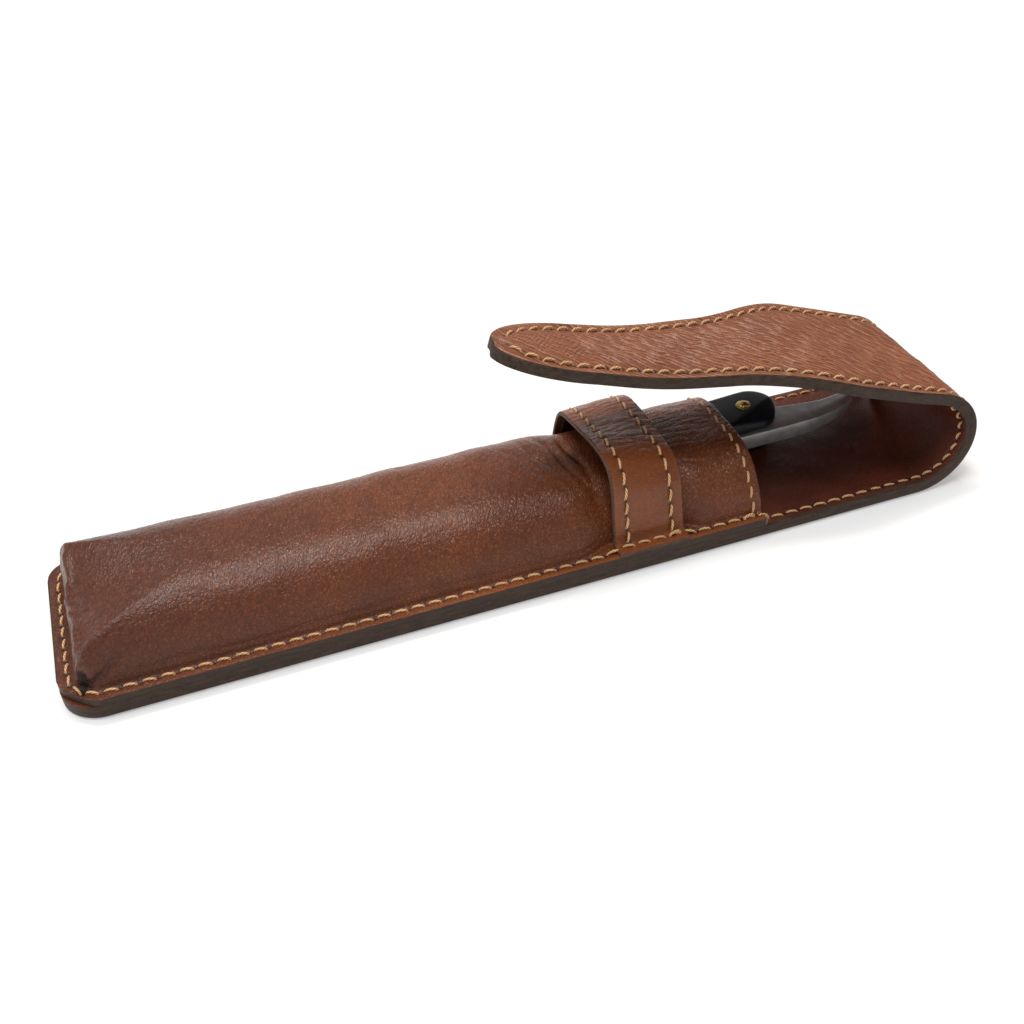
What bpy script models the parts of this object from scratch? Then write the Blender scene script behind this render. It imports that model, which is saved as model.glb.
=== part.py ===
"""Leather case for a folding straight razor, with the razor put away in it.

The case is one strap of outer leather on one strap of lining. From the closed end it runs flat under
the pouch, turns back over the mouth and narrows to a tongue. The pouch front is sewn to it, a keeper
band crosses the pouch, and the razor's pivot end looks out of the mouth.

Stations along the case are millimetres from the closed end. The world's X is zero half way along.
"""

import math

import bmesh
import bpy
from mathutils import Matrix, Vector

MM = 0.001
GAP = 0.3

# The strap: outer leather, lining, and the line that its outer face follows
CASE_WIDTH = 43.2
OUTER_THICK = 1.6
LINING_THICK = 0.9
NEAR_CORNER = 8.0
FAR_CORNER = 5.5
BEND_START = 184.6
BEND_RADIUS = 13.0
BEND_TURN = 163.5
# (length, turn in degrees) of the flap's stretches after the bend
FLAP_RUN = ((22.0, 0.0), (13.0, 8.0), (21.0, 0.0), (15.0, -9.0), (26.5, 0.0))
BEND_HINGES = 4

# How finely the curves are cut
FACETS_PER_HINGE = 8
FLAP_FACETS = 34
TIP_FACETS = 10
CORNER_FACETS = 6
ARCH_FACETS = 22
ARCH_ROUNDNESS = 2.4  # of the arches' crowns, where 2 is an ellipse

# Half widths of the flap, and how far along the strap each one holds
FLAP_HALF = 18.2
FLAP_HALF_FROM = 222.0
FLAP_HALF_TO = 241.0
TONGUE_HALF = 11.7
TONGUE_FROM = 270.0
TONGUE_END_HALF = 9.7
TIP_LENGTH = 20.0

# The pouch front: flange, dome and mouth
POUCH_THICK = 1.2
MOUTH = 146.3
DOME_START = 3.3
DOME_RISE_RUN = 5.5
DOME_HALF = 18.9
DOME_HALF_AT_KEEPER = 17.6
DOME_TOP_AT_END = 18.8
DOME_TOP_MIDDLE = 17.9
DOME_TOP_AT_KEEPER = 17.5
DOME_TOP_AT_MOUTH = 16.7
# How far the walls come in towards the top, in parts of the half width, and how square the arch is
DOME_LEAN = 0.17
DOME_SQUARENESS = 3.3
DOME_TOE_WIDTH = 0.78  # the dome's width where it starts to rise, in parts of its full width
FACING_THICK = 0.5
FACING_LENGTH = 13.0

# The keeper band
KEEPER_FROM = 112.0
KEEPER_TO = 128.0
KEEPER_THICK = 1.1
KEEPER_LINING_THICK = 0.6
KEEPER_HALF = 19.1
KEEPER_TOP = 24.2
KEEPER_LEAN = 0.13
KEEPER_SQUARENESS = 3.6
KEEPER_LINING_START = 0.22  # how far up the arch the lining begins, in parts of a quarter turn

# Seams
SEAM_INSET = 1.95
FLAP_SEAM_INSET = 2.4
MOUTH_SEAM_INSET = 4.0
KEEPER_SEAM_INSET = 3.0
THREAD_RADIUS = 0.3
THREAD_STEP = 1.0  # the run over which a thread climbs from one layer to the next

# The razor: scales, blade, wedge and pins
SCALE_THICK = 2.2
SCALE_FROM = 11.5
SCALE_TO = 162.5
SCALE_HALF_MIDDLE = 6.6
SCALE_HALF_AT_PIVOT = 4.9
TANG_THICK = 4.6
RAZOR_GAP = 0.25
PIVOT = (154.5, 6.3)
WEDGE_PIN = (19.5, 0.4)
PIN_RADIUS = 1.0
PIN_HEAD_RADIUS = 1.7
PIN_HEAD_HEIGHT = 0.95
PIN_HOLE_RADIUS = 1.3
SCALE_END_RUN = 5.5
SCALE_BOW = 1.6
DRILL_LENGTH = 20.0

# Heights above the surface that the case lies on, in the order the layers are stacked
LINING_LOW = OUTER_THICK + GAP
LINING_HIGH = LINING_LOW + LINING_THICK
FLANGE_LOW = LINING_HIGH + GAP
FLANGE_HIGH = FLANGE_LOW + POUCH_THICK
KEEPER_LOW = FLANGE_HIGH + GAP
KEEPER_HIGH = KEEPER_LOW + KEEPER_THICK
SCALE_LOW = LINING_HIGH + 0.6
TANG_LOW = SCALE_LOW + SCALE_THICK + RAZOR_GAP
TANG_HIGH = TANG_LOW + TANG_THICK
UPPER_SCALE_LOW = TANG_HIGH + RAZOR_GAP
UPPER_SCALE_HIGH = UPPER_SCALE_LOW + SCALE_THICK

BEND_LENGTH = BEND_RADIUS * math.radians(BEND_TURN)
BEND_END = BEND_START + BEND_LENGTH
HINGE_PITCH = BEND_LENGTH / BEND_HINGES
STRAP_END = BEND_END + sum(length for length, turn in FLAP_RUN)
HALF_LENGTH = (BEND_START + BEND_RADIUS) / 2
HALF_CASE = CASE_WIDTH / 2


# ---------------------------------------------------------------- materials


def material(name, colour, roughness, metallic=0.0):
    made = bpy.data.materials.new(name)
    made.use_nodes = True
    shader = made.node_tree.nodes["Principled BSDF"]
    shader.inputs["Base Color"].default_value = (*colour, 1.0)
    shader.inputs["Roughness"].default_value = roughness
    shader.inputs["Metallic"].default_value = metallic
    made.diffuse_color = (*colour, 1.0)
    return made


LEATHER_COLOUR = (0.19, 0.062, 0.024)
LINING_COLOUR = (0.13, 0.038, 0.022)
THREAD_COLOUR = (0.62, 0.38, 0.14)
SCALE_COLOUR = (0.008, 0.011, 0.018)
STEEL_COLOUR = (0.42, 0.42, 0.44)
BRASS_COLOUR = (0.68, 0.47, 0.17)


# ---------------------------------------------------------------- mesh tools


def smoothstep(low, high, value):
    part = min(max((value - low) / (high - low), 0.0), 1.0)
    return part * part * (3.0 - 2.0 * part)


def between(low, high, part):
    return low + (high - low) * part


def world(station, y, z):
    """The world point, in metres, of a station along the case and a place across it."""
    return Vector(((station - HALF_LENGTH) * MM, y * MM, z * MM))


def add_object(name, mesh, colour, roughness, metallic=0.0):
    mesh.materials.append(material(name + "_finish", colour, roughness, metallic))
    mesh.shade_smooth()
    mesh.set_sharp_from_angle(angle=math.radians(35))
    made = bpy.data.objects.new(name, mesh)
    PARTS.objects.link(made)
    return made


def loft(name, rings, colour, roughness, metallic=0.0):
    """One closed solid through rings of (station, y, z), which all hold the same number of points."""
    shape = bmesh.new()
    loops = [[shape.verts.new(world(*point)) for point in ring] for ring in rings]
    for first, second in zip(loops, loops[1:]):
        count = len(first)
        for i in range(count):
            j = (i + 1) % count
            shape.faces.new((first[i], first[j], second[j], second[i]))
    shape.faces.new(loops[0])
    shape.faces.new(loops[-1])
    bmesh.ops.recalc_face_normals(shape, faces=shape.faces)
    mesh = bpy.data.meshes.new(name)
    shape.to_mesh(mesh)
    shape.free()
    return add_object(name, mesh, colour, roughness, metallic)


def thread(name, points):
    """A sewing thread as one tube through the points (station, y, z)."""
    curve = bpy.data.curves.new(name, "CURVE")
    curve.dimensions = "3D"
    curve.bevel_depth = THREAD_RADIUS * MM
    curve.bevel_resolution = 1
    curve.use_fill_caps = True
    spline = curve.splines.new("POLY")
    spline.points.add(len(points) - 1)
    for target, point in zip(spline.points, points):
        target.co = (*world(*point), 1.0)
    curve.materials.append(material(name + "_finish", THREAD_COLOUR, 0.75))
    PARTS.objects.link(bpy.data.objects.new(name, curve))


def joint_empty(name, place, parent=None):
    """An empty on a joint's axis. What moves at the joint is its child."""
    made = bpy.data.objects.new(name, None)
    made.empty_display_size = 0.01
    made.location = place
    PARTS.objects.link(made)
    if parent:
        hang(made, parent, parent["place"])
    made["place"] = tuple(place)
    return made


def hang(child, parent, place):
    """Makes a child of what stands at place, and leaves the child where it is."""
    child.parent = parent
    child.matrix_parent_inverse = Matrix.Translation(-Vector(place))


def drill(target, centre):
    """Cuts a pin's hole through the target, along Z."""
    mesh = bpy.data.meshes.new(target.name + "_drill")
    shape = bmesh.new()
    bmesh.ops.create_cone(
        shape,
        cap_ends=True,
        segments=20,
        radius1=PIN_HOLE_RADIUS * MM,
        radius2=PIN_HOLE_RADIUS * MM,
        depth=DRILL_LENGTH * MM,
    )
    shape.to_mesh(mesh)
    shape.free()
    cutter = bpy.data.objects.new(target.name + "_drill", mesh)
    cutter.location = world(centre[0], centre[1], (TANG_LOW + TANG_HIGH) / 2)
    cutter.hide_render = True
    cutter.display_type = "WIRE"
    CUTTERS.objects.link(cutter)
    cut = target.modifiers.new("pin hole", "BOOLEAN")
    cut.operation = "DIFFERENCE"
    cut.object = cutter


# ---------------------------------------------------------------- the strap


def strap_frame(along):
    """(station, height, heading) of the strap's outer face at a length along it."""
    runs = ((BEND_START, 0.0), (BEND_LENGTH, BEND_TURN)) + FLAP_RUN
    station, height, heading, left = 0.0, 0.0, 0.0, along
    for length, turn in runs:
        step = min(left, length)
        bend = math.radians(turn) * step / length
        if turn:
            radius = length / math.radians(turn)
            station += radius * (math.sin(heading + bend) - math.sin(heading))
            height += radius * (math.cos(heading) - math.cos(heading + bend))
        else:
            station += step * math.cos(heading)
            height += step * math.sin(heading)
        heading += bend
        left -= step
        if left <= 0:
            break
    return station, height, heading


def strap_half_width(along):
    half = between(HALF_CASE, FLAP_HALF, smoothstep(BEND_START, FLAP_HALF_FROM, along))
    half = between(half, TONGUE_HALF, smoothstep(FLAP_HALF_TO, TONGUE_FROM, along))
    tip_from = STRAP_END - TIP_LENGTH
    taper = min(max((along - TONGUE_FROM) / (tip_from - TONGUE_FROM), 0.0), 1.0)
    half -= (TONGUE_HALF - TONGUE_END_HALF) * taper
    if along > tip_from:
        part = (along - tip_from) / (TIP_LENGTH + 0.05)
        half *= math.sqrt(1.0 - part * part)
    return half


def strap_edges(along):
    """The near and far edge of the strap, rounded at the closed end's corners."""
    half = strap_half_width(along)
    edges = []
    for side, corner in ((-1, NEAR_CORNER), (1, FAR_CORNER)):
        cut = 0.0
        if along < corner:
            cut = corner - math.sqrt(corner**2 - (corner - along) ** 2)
        edges.append(side * (half - cut))
    return edges


def strap_ring(along, low, high):
    """The strap's section between two depths below its outer face."""
    station, height, heading = strap_frame(along)
    inward = (-math.sin(heading), math.cos(heading))
    near, far = strap_edges(along)
    corners = ((near, low), (far, low), (far, high), (near, high))
    return [
        (station + depth * inward[0], y, height + depth * inward[1])
        for y, depth in corners
    ]


def corner_stations():
    """Stations that follow the rounded corners of the closed end."""
    count = CORNER_FACETS
    near = [NEAR_CORNER * (1 - math.cos(math.pi / 2 * i / count)) for i in range(count + 1)]
    far = [FAR_CORNER * (1 - math.cos(math.pi / 2 * i / count)) for i in range(1, count + 1)]
    return sorted(near + far)


def hinge_along(number):
    """Where hinge 1, 2, ... of the bend lies along the strap."""
    return BEND_START + HINGE_PITCH * (number - 0.5)


def steps(start, end, count):
    return [between(start, end, i / count) for i in range(count + 1)]


def make_strap(prefix, low, high, colour, roughness):
    """One layer of the strap: its flat back, a piece between each two hinges, and the flap."""
    half_gap = GAP / 2
    first = hinge_along(1) - half_gap
    back = corner_stations() + steps(BEND_START, first, FACETS_PER_HINGE // 2)
    loft(prefix + "_back", [strap_ring(s, low, high) for s in back], colour, roughness)
    for number in range(1, BEND_HINGES):
        start = hinge_along(number) + half_gap
        end = hinge_along(number + 1) - half_gap
        piece = [strap_ring(s, low, high) for s in steps(start, end, FACETS_PER_HINGE)]
        loft(f"{prefix}_bend_{number}", piece, colour, roughness)
    start = hinge_along(BEND_HINGES) + half_gap
    flap = steps(start, BEND_END, FACETS_PER_HINGE // 2)
    flap += steps(BEND_END, STRAP_END - TIP_LENGTH, FLAP_FACETS)[1:]
    tip_turn = [math.sin(math.pi / 2 * i / TIP_FACETS) for i in range(1, TIP_FACETS + 1)]
    flap += [STRAP_END - TIP_LENGTH * (1 - part) for part in tip_turn]
    loft(prefix + "_flap", [strap_ring(s, low, high) for s in flap], colour, roughness)


# ---------------------------------------------------------------- pouch and keeper


def arch(half, low, high, lean, squareness, start=0.0):
    """Points (y, z) over an arch from its near foot to its far foot.

    lean is how far the walls come in towards the top; squareness of 2 is an ellipse; start is how
    far up the arch its first and last points stand, in parts of a quarter turn.
    """
    points = []
    for i in range(ARCH_FACETS + 1):
        turn = math.pi * between(start / 2, 1 - start / 2, i / ARCH_FACETS)
        rise = abs(math.sin(turn)) ** (2 / ARCH_ROUNDNESS)
        reach = abs(math.cos(turn)) ** (2 / squareness)
        side = -1 if turn < math.pi / 2 else 1
        y = side * half * (1 - lean * rise) * reach
        points.append((y, low + (high - low) * rise))
    return points


def dome_half(station):
    pinch = smoothstep(KEEPER_FROM - 12, KEEPER_FROM - 1, station)
    pinch -= smoothstep(KEEPER_TO + 1, MOUTH - 4, station)
    return between(DOME_HALF, DOME_HALF_AT_KEEPER, pinch)


def dome_top(station):
    top = between(DOME_TOP_AT_END, DOME_TOP_MIDDLE, smoothstep(10, 45, station))
    top = between(top, DOME_TOP_AT_KEEPER, smoothstep(96, KEEPER_FROM, station))
    return between(top, DOME_TOP_AT_MOUTH, smoothstep(KEEPER_TO, MOUTH, station))


def dome_rise(station, inset):
    """How much of the dome's height, and of its half width, stands at this station."""
    start = DOME_START + inset
    part = min(max((station - start) / DOME_RISE_RUN, 0.0), 1.0)
    height = (1 - (1 - part) ** 2.6) ** (1 / 2.2)
    width = between(DOME_TOE_WIDTH, 1.0, math.sqrt(1 - (1 - part) ** 2))
    return height, width


def dome_arch(station, inset, low, start=0.0):
    """The dome at a station, inset from its outer face and standing on the height low."""
    height, width = dome_rise(station, inset)
    half = (dome_half(station) - inset) * width
    top = low + (dome_top(station) - inset - low) * height
    return arch(half, low, top, DOME_LEAN, DOME_SQUARENESS, start)


def pouch_ring(station):
    near, far = strap_edges(station)
    over = [(near, FLANGE_HIGH)] + dome_arch(station, 0.0, FLANGE_HIGH) + [(far, FLANGE_HIGH)]
    under = [(near, FLANGE_LOW)] + dome_arch(station, POUCH_THICK, FLANGE_LOW) + [(far, FLANGE_LOW)]
    return [(station, y, z) for y, z in over + under[::-1]]


def make_pouch():
    """The moulded front, and the facing strip inside its mouth."""
    turns = [math.pi / 2 * i / 8 for i in range(9)]
    stations = set(corner_stations())
    for start in (DOME_START, DOME_START + POUCH_THICK):
        stations |= {start + DOME_RISE_RUN * (1 - math.cos(turn)) for turn in turns}
    stations |= set(steps(14, 44, 4)) | {75, 90} | set(steps(99, 111, 4))
    stations |= set(steps(KEEPER_FROM, KEEPER_TO, 2)) | set(steps(130, MOUTH, 4))
    ordered = sorted(stations)
    spaced = ordered[:1]
    for station in ordered[1:]:
        if station - spaced[-1] > 0.04:
            spaced.append(station)
    loft("pouch_front", [pouch_ring(s) for s in spaced], LEATHER_COLOUR, 0.42)

    inset = POUCH_THICK + GAP
    low = FLANGE_LOW + GAP
    rings = []
    for station in steps(MOUTH - FACING_LENGTH, MOUTH - 0.4, 3):
        over = dome_arch(station, inset, low)
        under = dome_arch(station, inset + FACING_THICK, low)
        rings.append([(station, y, z) for y, z in over + under[::-1]])
    loft("mouth_facing", rings, LINING_COLOUR, 0.6)


def keeper_arch(inset, low, start=0.0):
    top = KEEPER_TOP - inset
    return arch(KEEPER_HALF - inset, low, top, KEEPER_LEAN, KEEPER_SQUARENESS, start)


def make_keeper():
    """The band over the pouch that holds the tongue, and the strip that backs it."""
    over = [(-HALF_CASE, KEEPER_HIGH)] + keeper_arch(0.0, KEEPER_HIGH) + [(HALF_CASE, KEEPER_HIGH)]
    under = [(-HALF_CASE, KEEPER_LOW)] + keeper_arch(KEEPER_THICK, KEEPER_LOW)
    under += [(HALF_CASE, KEEPER_LOW)]
    section = over + under[::-1]
    ends = (KEEPER_FROM, KEEPER_TO)
    rings = [[(station, y, z) for y, z in section] for station in ends]
    loft("keeper_band", rings, LEATHER_COLOUR, 0.42)

    inset = KEEPER_THICK + GAP
    over = keeper_arch(inset, KEEPER_LOW, KEEPER_LINING_START)
    under = keeper_arch(inset + KEEPER_LINING_THICK, KEEPER_LOW, KEEPER_LINING_START)
    rings = [[(station, y, z) for y, z in over + under[::-1]] for station in ends]
    loft("keeper_lining", rings, LINING_COLOUR, 0.6)


# ---------------------------------------------------------------- seams


def seam_corner(side, corner):
    """The seam round one corner of the closed end, from its side run to its end run."""
    radius = corner - SEAM_INSET
    points = []
    for i in range(5):
        turn = math.pi / 2 * i / 4
        station = corner - radius * math.sin(turn)
        points.append((station, side * (HALF_CASE - corner + radius * math.cos(turn))))
    return points


def make_threads():
    lift = GAP + THREAD_RADIUS
    over_flange = FLANGE_HIGH + lift
    over_keeper = KEEPER_HIGH + lift
    over_lining = LINING_HIGH + lift
    seam = HALF_CASE - SEAM_INSET

    side_run = [
        (BEND_START, over_lining),
        (MOUTH + 1.2, over_lining),
        (MOUTH - 0.2, over_flange),
        (KEEPER_TO + THREAD_STEP, over_flange),
        (KEEPER_TO, over_keeper),
        (KEEPER_FROM, over_keeper),
        (KEEPER_FROM - THREAD_STEP, over_flange),
    ]
    near = [(station, -seam, z) for station, z in side_run]
    far = [(station, seam, z) for station, z in side_run]
    near += [(s, y, over_flange) for s, y in seam_corner(-1, NEAR_CORNER)]
    far += [(s, y, over_flange) for s, y in seam_corner(1, FAR_CORNER)]
    thread("pouch_seam_thread", near + far[::-1])

    start = hinge_along(BEND_HINGES) + GAP
    runs = []
    for side in (-1, 1):
        run = []
        for along in steps(start, STRAP_END - FLAP_SEAM_INSET - 1.0, 30):
            station, height, heading = strap_frame(along)
            half = strap_half_width(along)
            if along > STRAP_END - TIP_LENGTH:
                part = (along - (STRAP_END - TIP_LENGTH)) / (TIP_LENGTH - FLAP_SEAM_INSET)
                half = TONGUE_END_HALF * math.sqrt(max(1 - part * part, 0.02))
            y = side * (half - FLAP_SEAM_INSET * smoothstep(0, 4, half))
            run.append((station + lift * math.sin(heading), y, height - lift * math.cos(heading)))
        runs.append(run)
    thread("flap_seam_thread", runs[0] + runs[1][::-1])

    row = dome_arch(MOUTH - MOUTH_SEAM_INSET, -lift, FLANGE_HIGH, 0.12)
    thread("mouth_seam_thread", [(MOUTH - MOUTH_SEAM_INSET, y, z) for y, z in row])
    row = keeper_arch(-lift, KEEPER_HIGH, 0.10)
    places = {"left": KEEPER_FROM + KEEPER_SEAM_INSET, "right": KEEPER_TO - KEEPER_SEAM_INSET}
    for side, station in places.items():
        thread(f"keeper_seam_thread_{side}", [(station, y, z) for y, z in row])


# ---------------------------------------------------------------- the razor


def scale_line(station):
    """(middle, half width) of a scale at a station, before its ends are rounded."""
    part = (station - WEDGE_PIN[0]) / (PIVOT[0] - WEDGE_PIN[0])
    bow = SCALE_BOW * math.sin(math.pi * min(max(part, 0.0), 1.0))
    middle = between(WEDGE_PIN[1], PIVOT[1], part) - bow
    half = between(SCALE_HALF_MIDDLE - 0.8, SCALE_HALF_MIDDLE, smoothstep(-0.1, 0.4, part))
    half = between(half, SCALE_HALF_AT_PIVOT, smoothstep(0.55, 1.0, part))
    return middle, half


def scale_stations():
    end_turns = [math.pi / 2 * i / 6 for i in range(7)]
    run = SCALE_END_RUN
    left = [SCALE_FROM + run * (1 - math.cos(turn)) for turn in end_turns]
    right = [SCALE_TO - run * (1 - math.cos(turn)) for turn in end_turns[::-1]]
    return left + steps(SCALE_FROM + run, SCALE_TO - run, 12)[1:-1] + right


def make_scale(name, low, outer_is_up):
    """One of the razor's two scales. Its outer face is crowned."""
    rings = []
    for station in scale_stations():
        middle, half = scale_line(station)
        to_end = min(station - SCALE_FROM, SCALE_TO - station)
        part = min(to_end / SCALE_END_RUN, 1.0)
        half *= math.sqrt(max(1 - (1 - part) ** 2, 0.06))
        edge = min(1.3, half * 0.4)
        section = [
            (-half, 0.0),
            (half, 0.0),
            (half, SCALE_THICK * 0.45),
            (half - edge * 0.45, SCALE_THICK * 0.82),
            (half - edge, SCALE_THICK),
            (-half + edge, SCALE_THICK),
            (-half + edge * 0.45, SCALE_THICK * 0.82),
            (-half, SCALE_THICK * 0.45),
        ]
        ring = []
        for y, z in section:
            height = low + z if outer_is_up else low + SCALE_THICK - z
            ring.append((station, middle + y, height))
        rings.append(ring)
    made = loft(name, rings, SCALE_COLOUR, 0.35)
    drill(made, PIVOT)
    drill(made, WEDGE_PIN)


# The blade's sections: station, belly side y, back side y, half thickness at belly, middle and back
BLADE_SECTIONS = (
    (29.0, -3.0, 8.5, 0.25, 0.35, 1.5),
    (30.5, -5.2, 10.6, 0.2, 0.4, 2.0),
    (34.0, -5.9, 11.4, 0.2, 0.5, 2.2),
    (92.0, -6.6, 10.6, 0.2, 0.5, 2.2),
    (98.0, -6.0, 10.2, 0.25, 0.7, 2.2),
    (102.0, -1.6, 9.4, 1.4, 1.8, 2.3),
    (108.0, 0.4, 8.6, 1.9, 2.1, 2.3),
    (128.0, 0.9, 9.4, 2.1, 2.2, 2.3),
    (148.0, 0.7, 10.4, 2.1, 2.2, 2.3),
    (152.0, 0.5, 10.6, 2.3, 2.3, 2.3),
    (158.0, 0.4, 9.3, 2.3, 2.3, 2.3),
    (164.0, 0.4, 7.4, 2.3, 2.3, 2.3),
    (170.0, 0.5, 6.2, 2.2, 2.2, 2.2),
    (174.5, 1.1, 6.0, 2.0, 2.0, 2.0),
    (178.5, 2.3, 6.6, 1.8, 1.8, 1.8),
    (181.5, 3.8, 7.5, 1.5, 1.5, 1.5),
    (183.6, 5.3, 8.4, 1.2, 1.2, 1.2),
    (184.6, 6.4, 8.6, 0.8, 0.8, 0.8),
)


def make_blade():
    """Blade, shank, tang and tail are one forging."""
    middle = (TANG_LOW + TANG_HIGH) / 2
    rings = []
    for station, belly, back, thin, waist, thick in BLADE_SECTIONS:
        centre = between(belly, back, 0.45)
        half_section = [(belly, thin), (centre, waist), (back - 0.5, thick), (back, thick * 0.75)]
        ring = [(station, y, middle + z) for y, z in half_section]
        ring += [(station, y, middle - z) for y, z in half_section[::-1]]
        rings.append(ring)
    made = loft("razor_blade", rings, STEEL_COLOUR, 0.32, 1.0)
    drill(made, PIVOT)


def make_wedge():
    """The spacer that holds the scales apart at their far end."""
    low, high = TANG_LOW, TANG_HIGH
    rings = []
    for station, half in ((14.0, 2.9), (15.2, 4.0), (24.0, 4.6), (25.4, 4.2)):
        centre = scale_line(station)[0]
        section = ((-half, low), (half, low), (half, high), (-half, high))
        rings.append([(station, centre + y, z) for y, z in section])
    made = loft("razor_wedge", rings, (0.55, 0.5, 0.4), 0.5)
    drill(made, WEDGE_PIN)


def make_pin(name, centre):
    """A brass pin, domed over a collar above and low-headed below: a turned profile."""
    top = UPPER_SCALE_HIGH
    head_low = SCALE_LOW - 0.12
    profile = [
        (0.0, top + PIN_HEAD_HEIGHT),
        (0.55, top + PIN_HEAD_HEIGHT * 0.93),
        (0.95, top + PIN_HEAD_HEIGHT * 0.7),
        (1.15, top + 0.42),
        (PIN_HEAD_RADIUS, top + 0.34),
        (PIN_HEAD_RADIUS, top + 0.12),
        (PIN_RADIUS, top + 0.1),
        (PIN_RADIUS, head_low),
        (PIN_HEAD_RADIUS * 0.9, head_low - 0.02),
        (PIN_HEAD_RADIUS * 0.6, head_low - 0.16),
        (0.0, head_low - 0.18),
    ]
    shape = bmesh.new()
    verts = [shape.verts.new((r * MM, 0.0, z * MM)) for r, z in profile]
    for first, second in zip(verts, verts[1:]):
        shape.edges.new((first, second))
    mesh = bpy.data.meshes.new(name)
    shape.to_mesh(mesh)
    shape.free()
    made = add_object(name, mesh, BRASS_COLOUR, 0.25, 1.0)
    made.location = world(centre[0], centre[1], 0.0)
    turned = made.modifiers.new("turned", "SCREW")
    turned.steps = turned.render_steps = 16
    turned.use_merge_vertices = True
    turned.merge_threshold = 0.00001
    turned.use_smooth_shade = True


# ---------------------------------------------------------------- joints


def hang_moving_pieces():
    """Puts each moving piece under an empty on its joint's axis, the bend's four hinges in a chain."""
    moving = ["outer_bend_{0} lining_bend_{0}".format(k).split() for k in range(1, BEND_HINGES)]
    moving.append(["outer_flap", "lining_flap", "flap_seam_thread"])
    hinge = None
    for number, names in enumerate(moving, start=1):
        station, height, heading = strap_frame(hinge_along(number))
        place = world(station, 0.0, height)
        hinge = joint_empty(f"flap_hinge_{number}", place, hinge)
        for name in names:
            hang(bpy.data.objects[name], hinge, place)

    middle = (TANG_LOW + TANG_HIGH) / 2
    razor_place = world(*PIVOT, middle)
    razor = joint_empty("razor_slide_axis", razor_place)
    names = ("scale_lower", "scale_upper", "wedge", "pivot_pin", "wedge_pin")
    for name in names:
        hang(bpy.data.objects["razor_" + name], razor, razor_place)
    blade = joint_empty("blade_pivot_axis", razor_place, razor)
    hang(bpy.data.objects["razor_blade"], blade, razor_place)


# ---------------------------------------------------------------- build


def clear_scene():
    for found in list(bpy.data.objects):
        bpy.data.objects.remove(found, do_unlink=True)


def collection(name):
    made = bpy.data.collections.new(name)
    bpy.context.scene.collection.children.link(made)
    return made


clear_scene()
PARTS = collection("razor_case")
CUTTERS = collection("cutters")

make_strap("outer", 0.0, OUTER_THICK, LEATHER_COLOUR, 0.42)
make_strap("lining", LINING_LOW, LINING_HIGH, LINING_COLOUR, 0.6)
make_pouch()
make_keeper()
make_threads()
make_scale("razor_scale_lower", SCALE_LOW, outer_is_up=False)
make_scale("razor_scale_upper", UPPER_SCALE_LOW, outer_is_up=True)
make_blade()
make_wedge()
make_pin("razor_pivot_pin", PIVOT)
make_pin("razor_wedge_pin", WEDGE_PIN)
hang_moving_pieces()
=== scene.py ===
"""The looks of a leather case for a folding straight razor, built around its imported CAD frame.

Shapes are worked out in millimetres: x is the station along the case from its closed end, y goes
across it and z is the height above what it lies on. The strap's own coordinates are (along, across,
depth): the length along its outer face from the closed end, the place across it, and the depth below
its outer face.
"""

import math
import bmesh
import bpy
import numpy as np
from mathutils import Matrix, Vector


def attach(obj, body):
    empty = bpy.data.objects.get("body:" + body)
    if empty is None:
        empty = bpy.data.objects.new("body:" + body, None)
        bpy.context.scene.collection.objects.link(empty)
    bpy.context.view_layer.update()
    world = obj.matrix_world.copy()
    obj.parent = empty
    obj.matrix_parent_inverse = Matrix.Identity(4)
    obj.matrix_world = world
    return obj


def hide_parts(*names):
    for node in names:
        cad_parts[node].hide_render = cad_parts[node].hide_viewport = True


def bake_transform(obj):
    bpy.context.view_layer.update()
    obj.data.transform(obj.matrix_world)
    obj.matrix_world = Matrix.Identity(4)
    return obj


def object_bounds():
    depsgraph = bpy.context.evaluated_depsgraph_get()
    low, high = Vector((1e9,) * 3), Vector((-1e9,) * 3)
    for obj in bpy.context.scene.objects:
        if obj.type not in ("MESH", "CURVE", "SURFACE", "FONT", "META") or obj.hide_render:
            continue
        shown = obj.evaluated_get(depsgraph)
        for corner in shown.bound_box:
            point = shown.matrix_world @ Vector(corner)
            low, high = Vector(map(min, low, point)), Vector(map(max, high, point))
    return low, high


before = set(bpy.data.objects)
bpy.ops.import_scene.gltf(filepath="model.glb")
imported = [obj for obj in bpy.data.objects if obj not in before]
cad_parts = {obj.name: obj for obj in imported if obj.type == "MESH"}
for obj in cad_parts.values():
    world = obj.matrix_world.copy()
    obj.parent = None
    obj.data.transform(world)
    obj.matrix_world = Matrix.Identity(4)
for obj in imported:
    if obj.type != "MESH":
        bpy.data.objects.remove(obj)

CAD_LOW, CAD_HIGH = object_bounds()
MM = 0.001
CLOSED_END = CAD_LOW.x / MM

# The strap: two layers, and the line that its outer face follows
CASE_WIDTH = (CAD_HIGH.y - CAD_LOW.y) / MM
HALF_CASE = CASE_WIDTH / 2
OUTER_HIGH = 1.895
LINING_LOW = 1.9
LINING_HIGH = 3.0
FLAP_LINING_HIGH = 2.6
FLAP_CURL = 0.9  # how far the flap's near side curls down
NEAR_CORNER = 8.0
FAR_CORNER = 5.5
BEND_START = 184.6
BEND_RADIUS = 13.0
BEND_TURN = 163.5
BEND_DEEP, BEND_TALL = 14.6, 12.1  # half axes of the ellipse that the visible bend follows
BEND_LEAD = 0.6  # how far before BEND_START the visible bend begins
BEND_LAST_HEADING = 160.0
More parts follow.
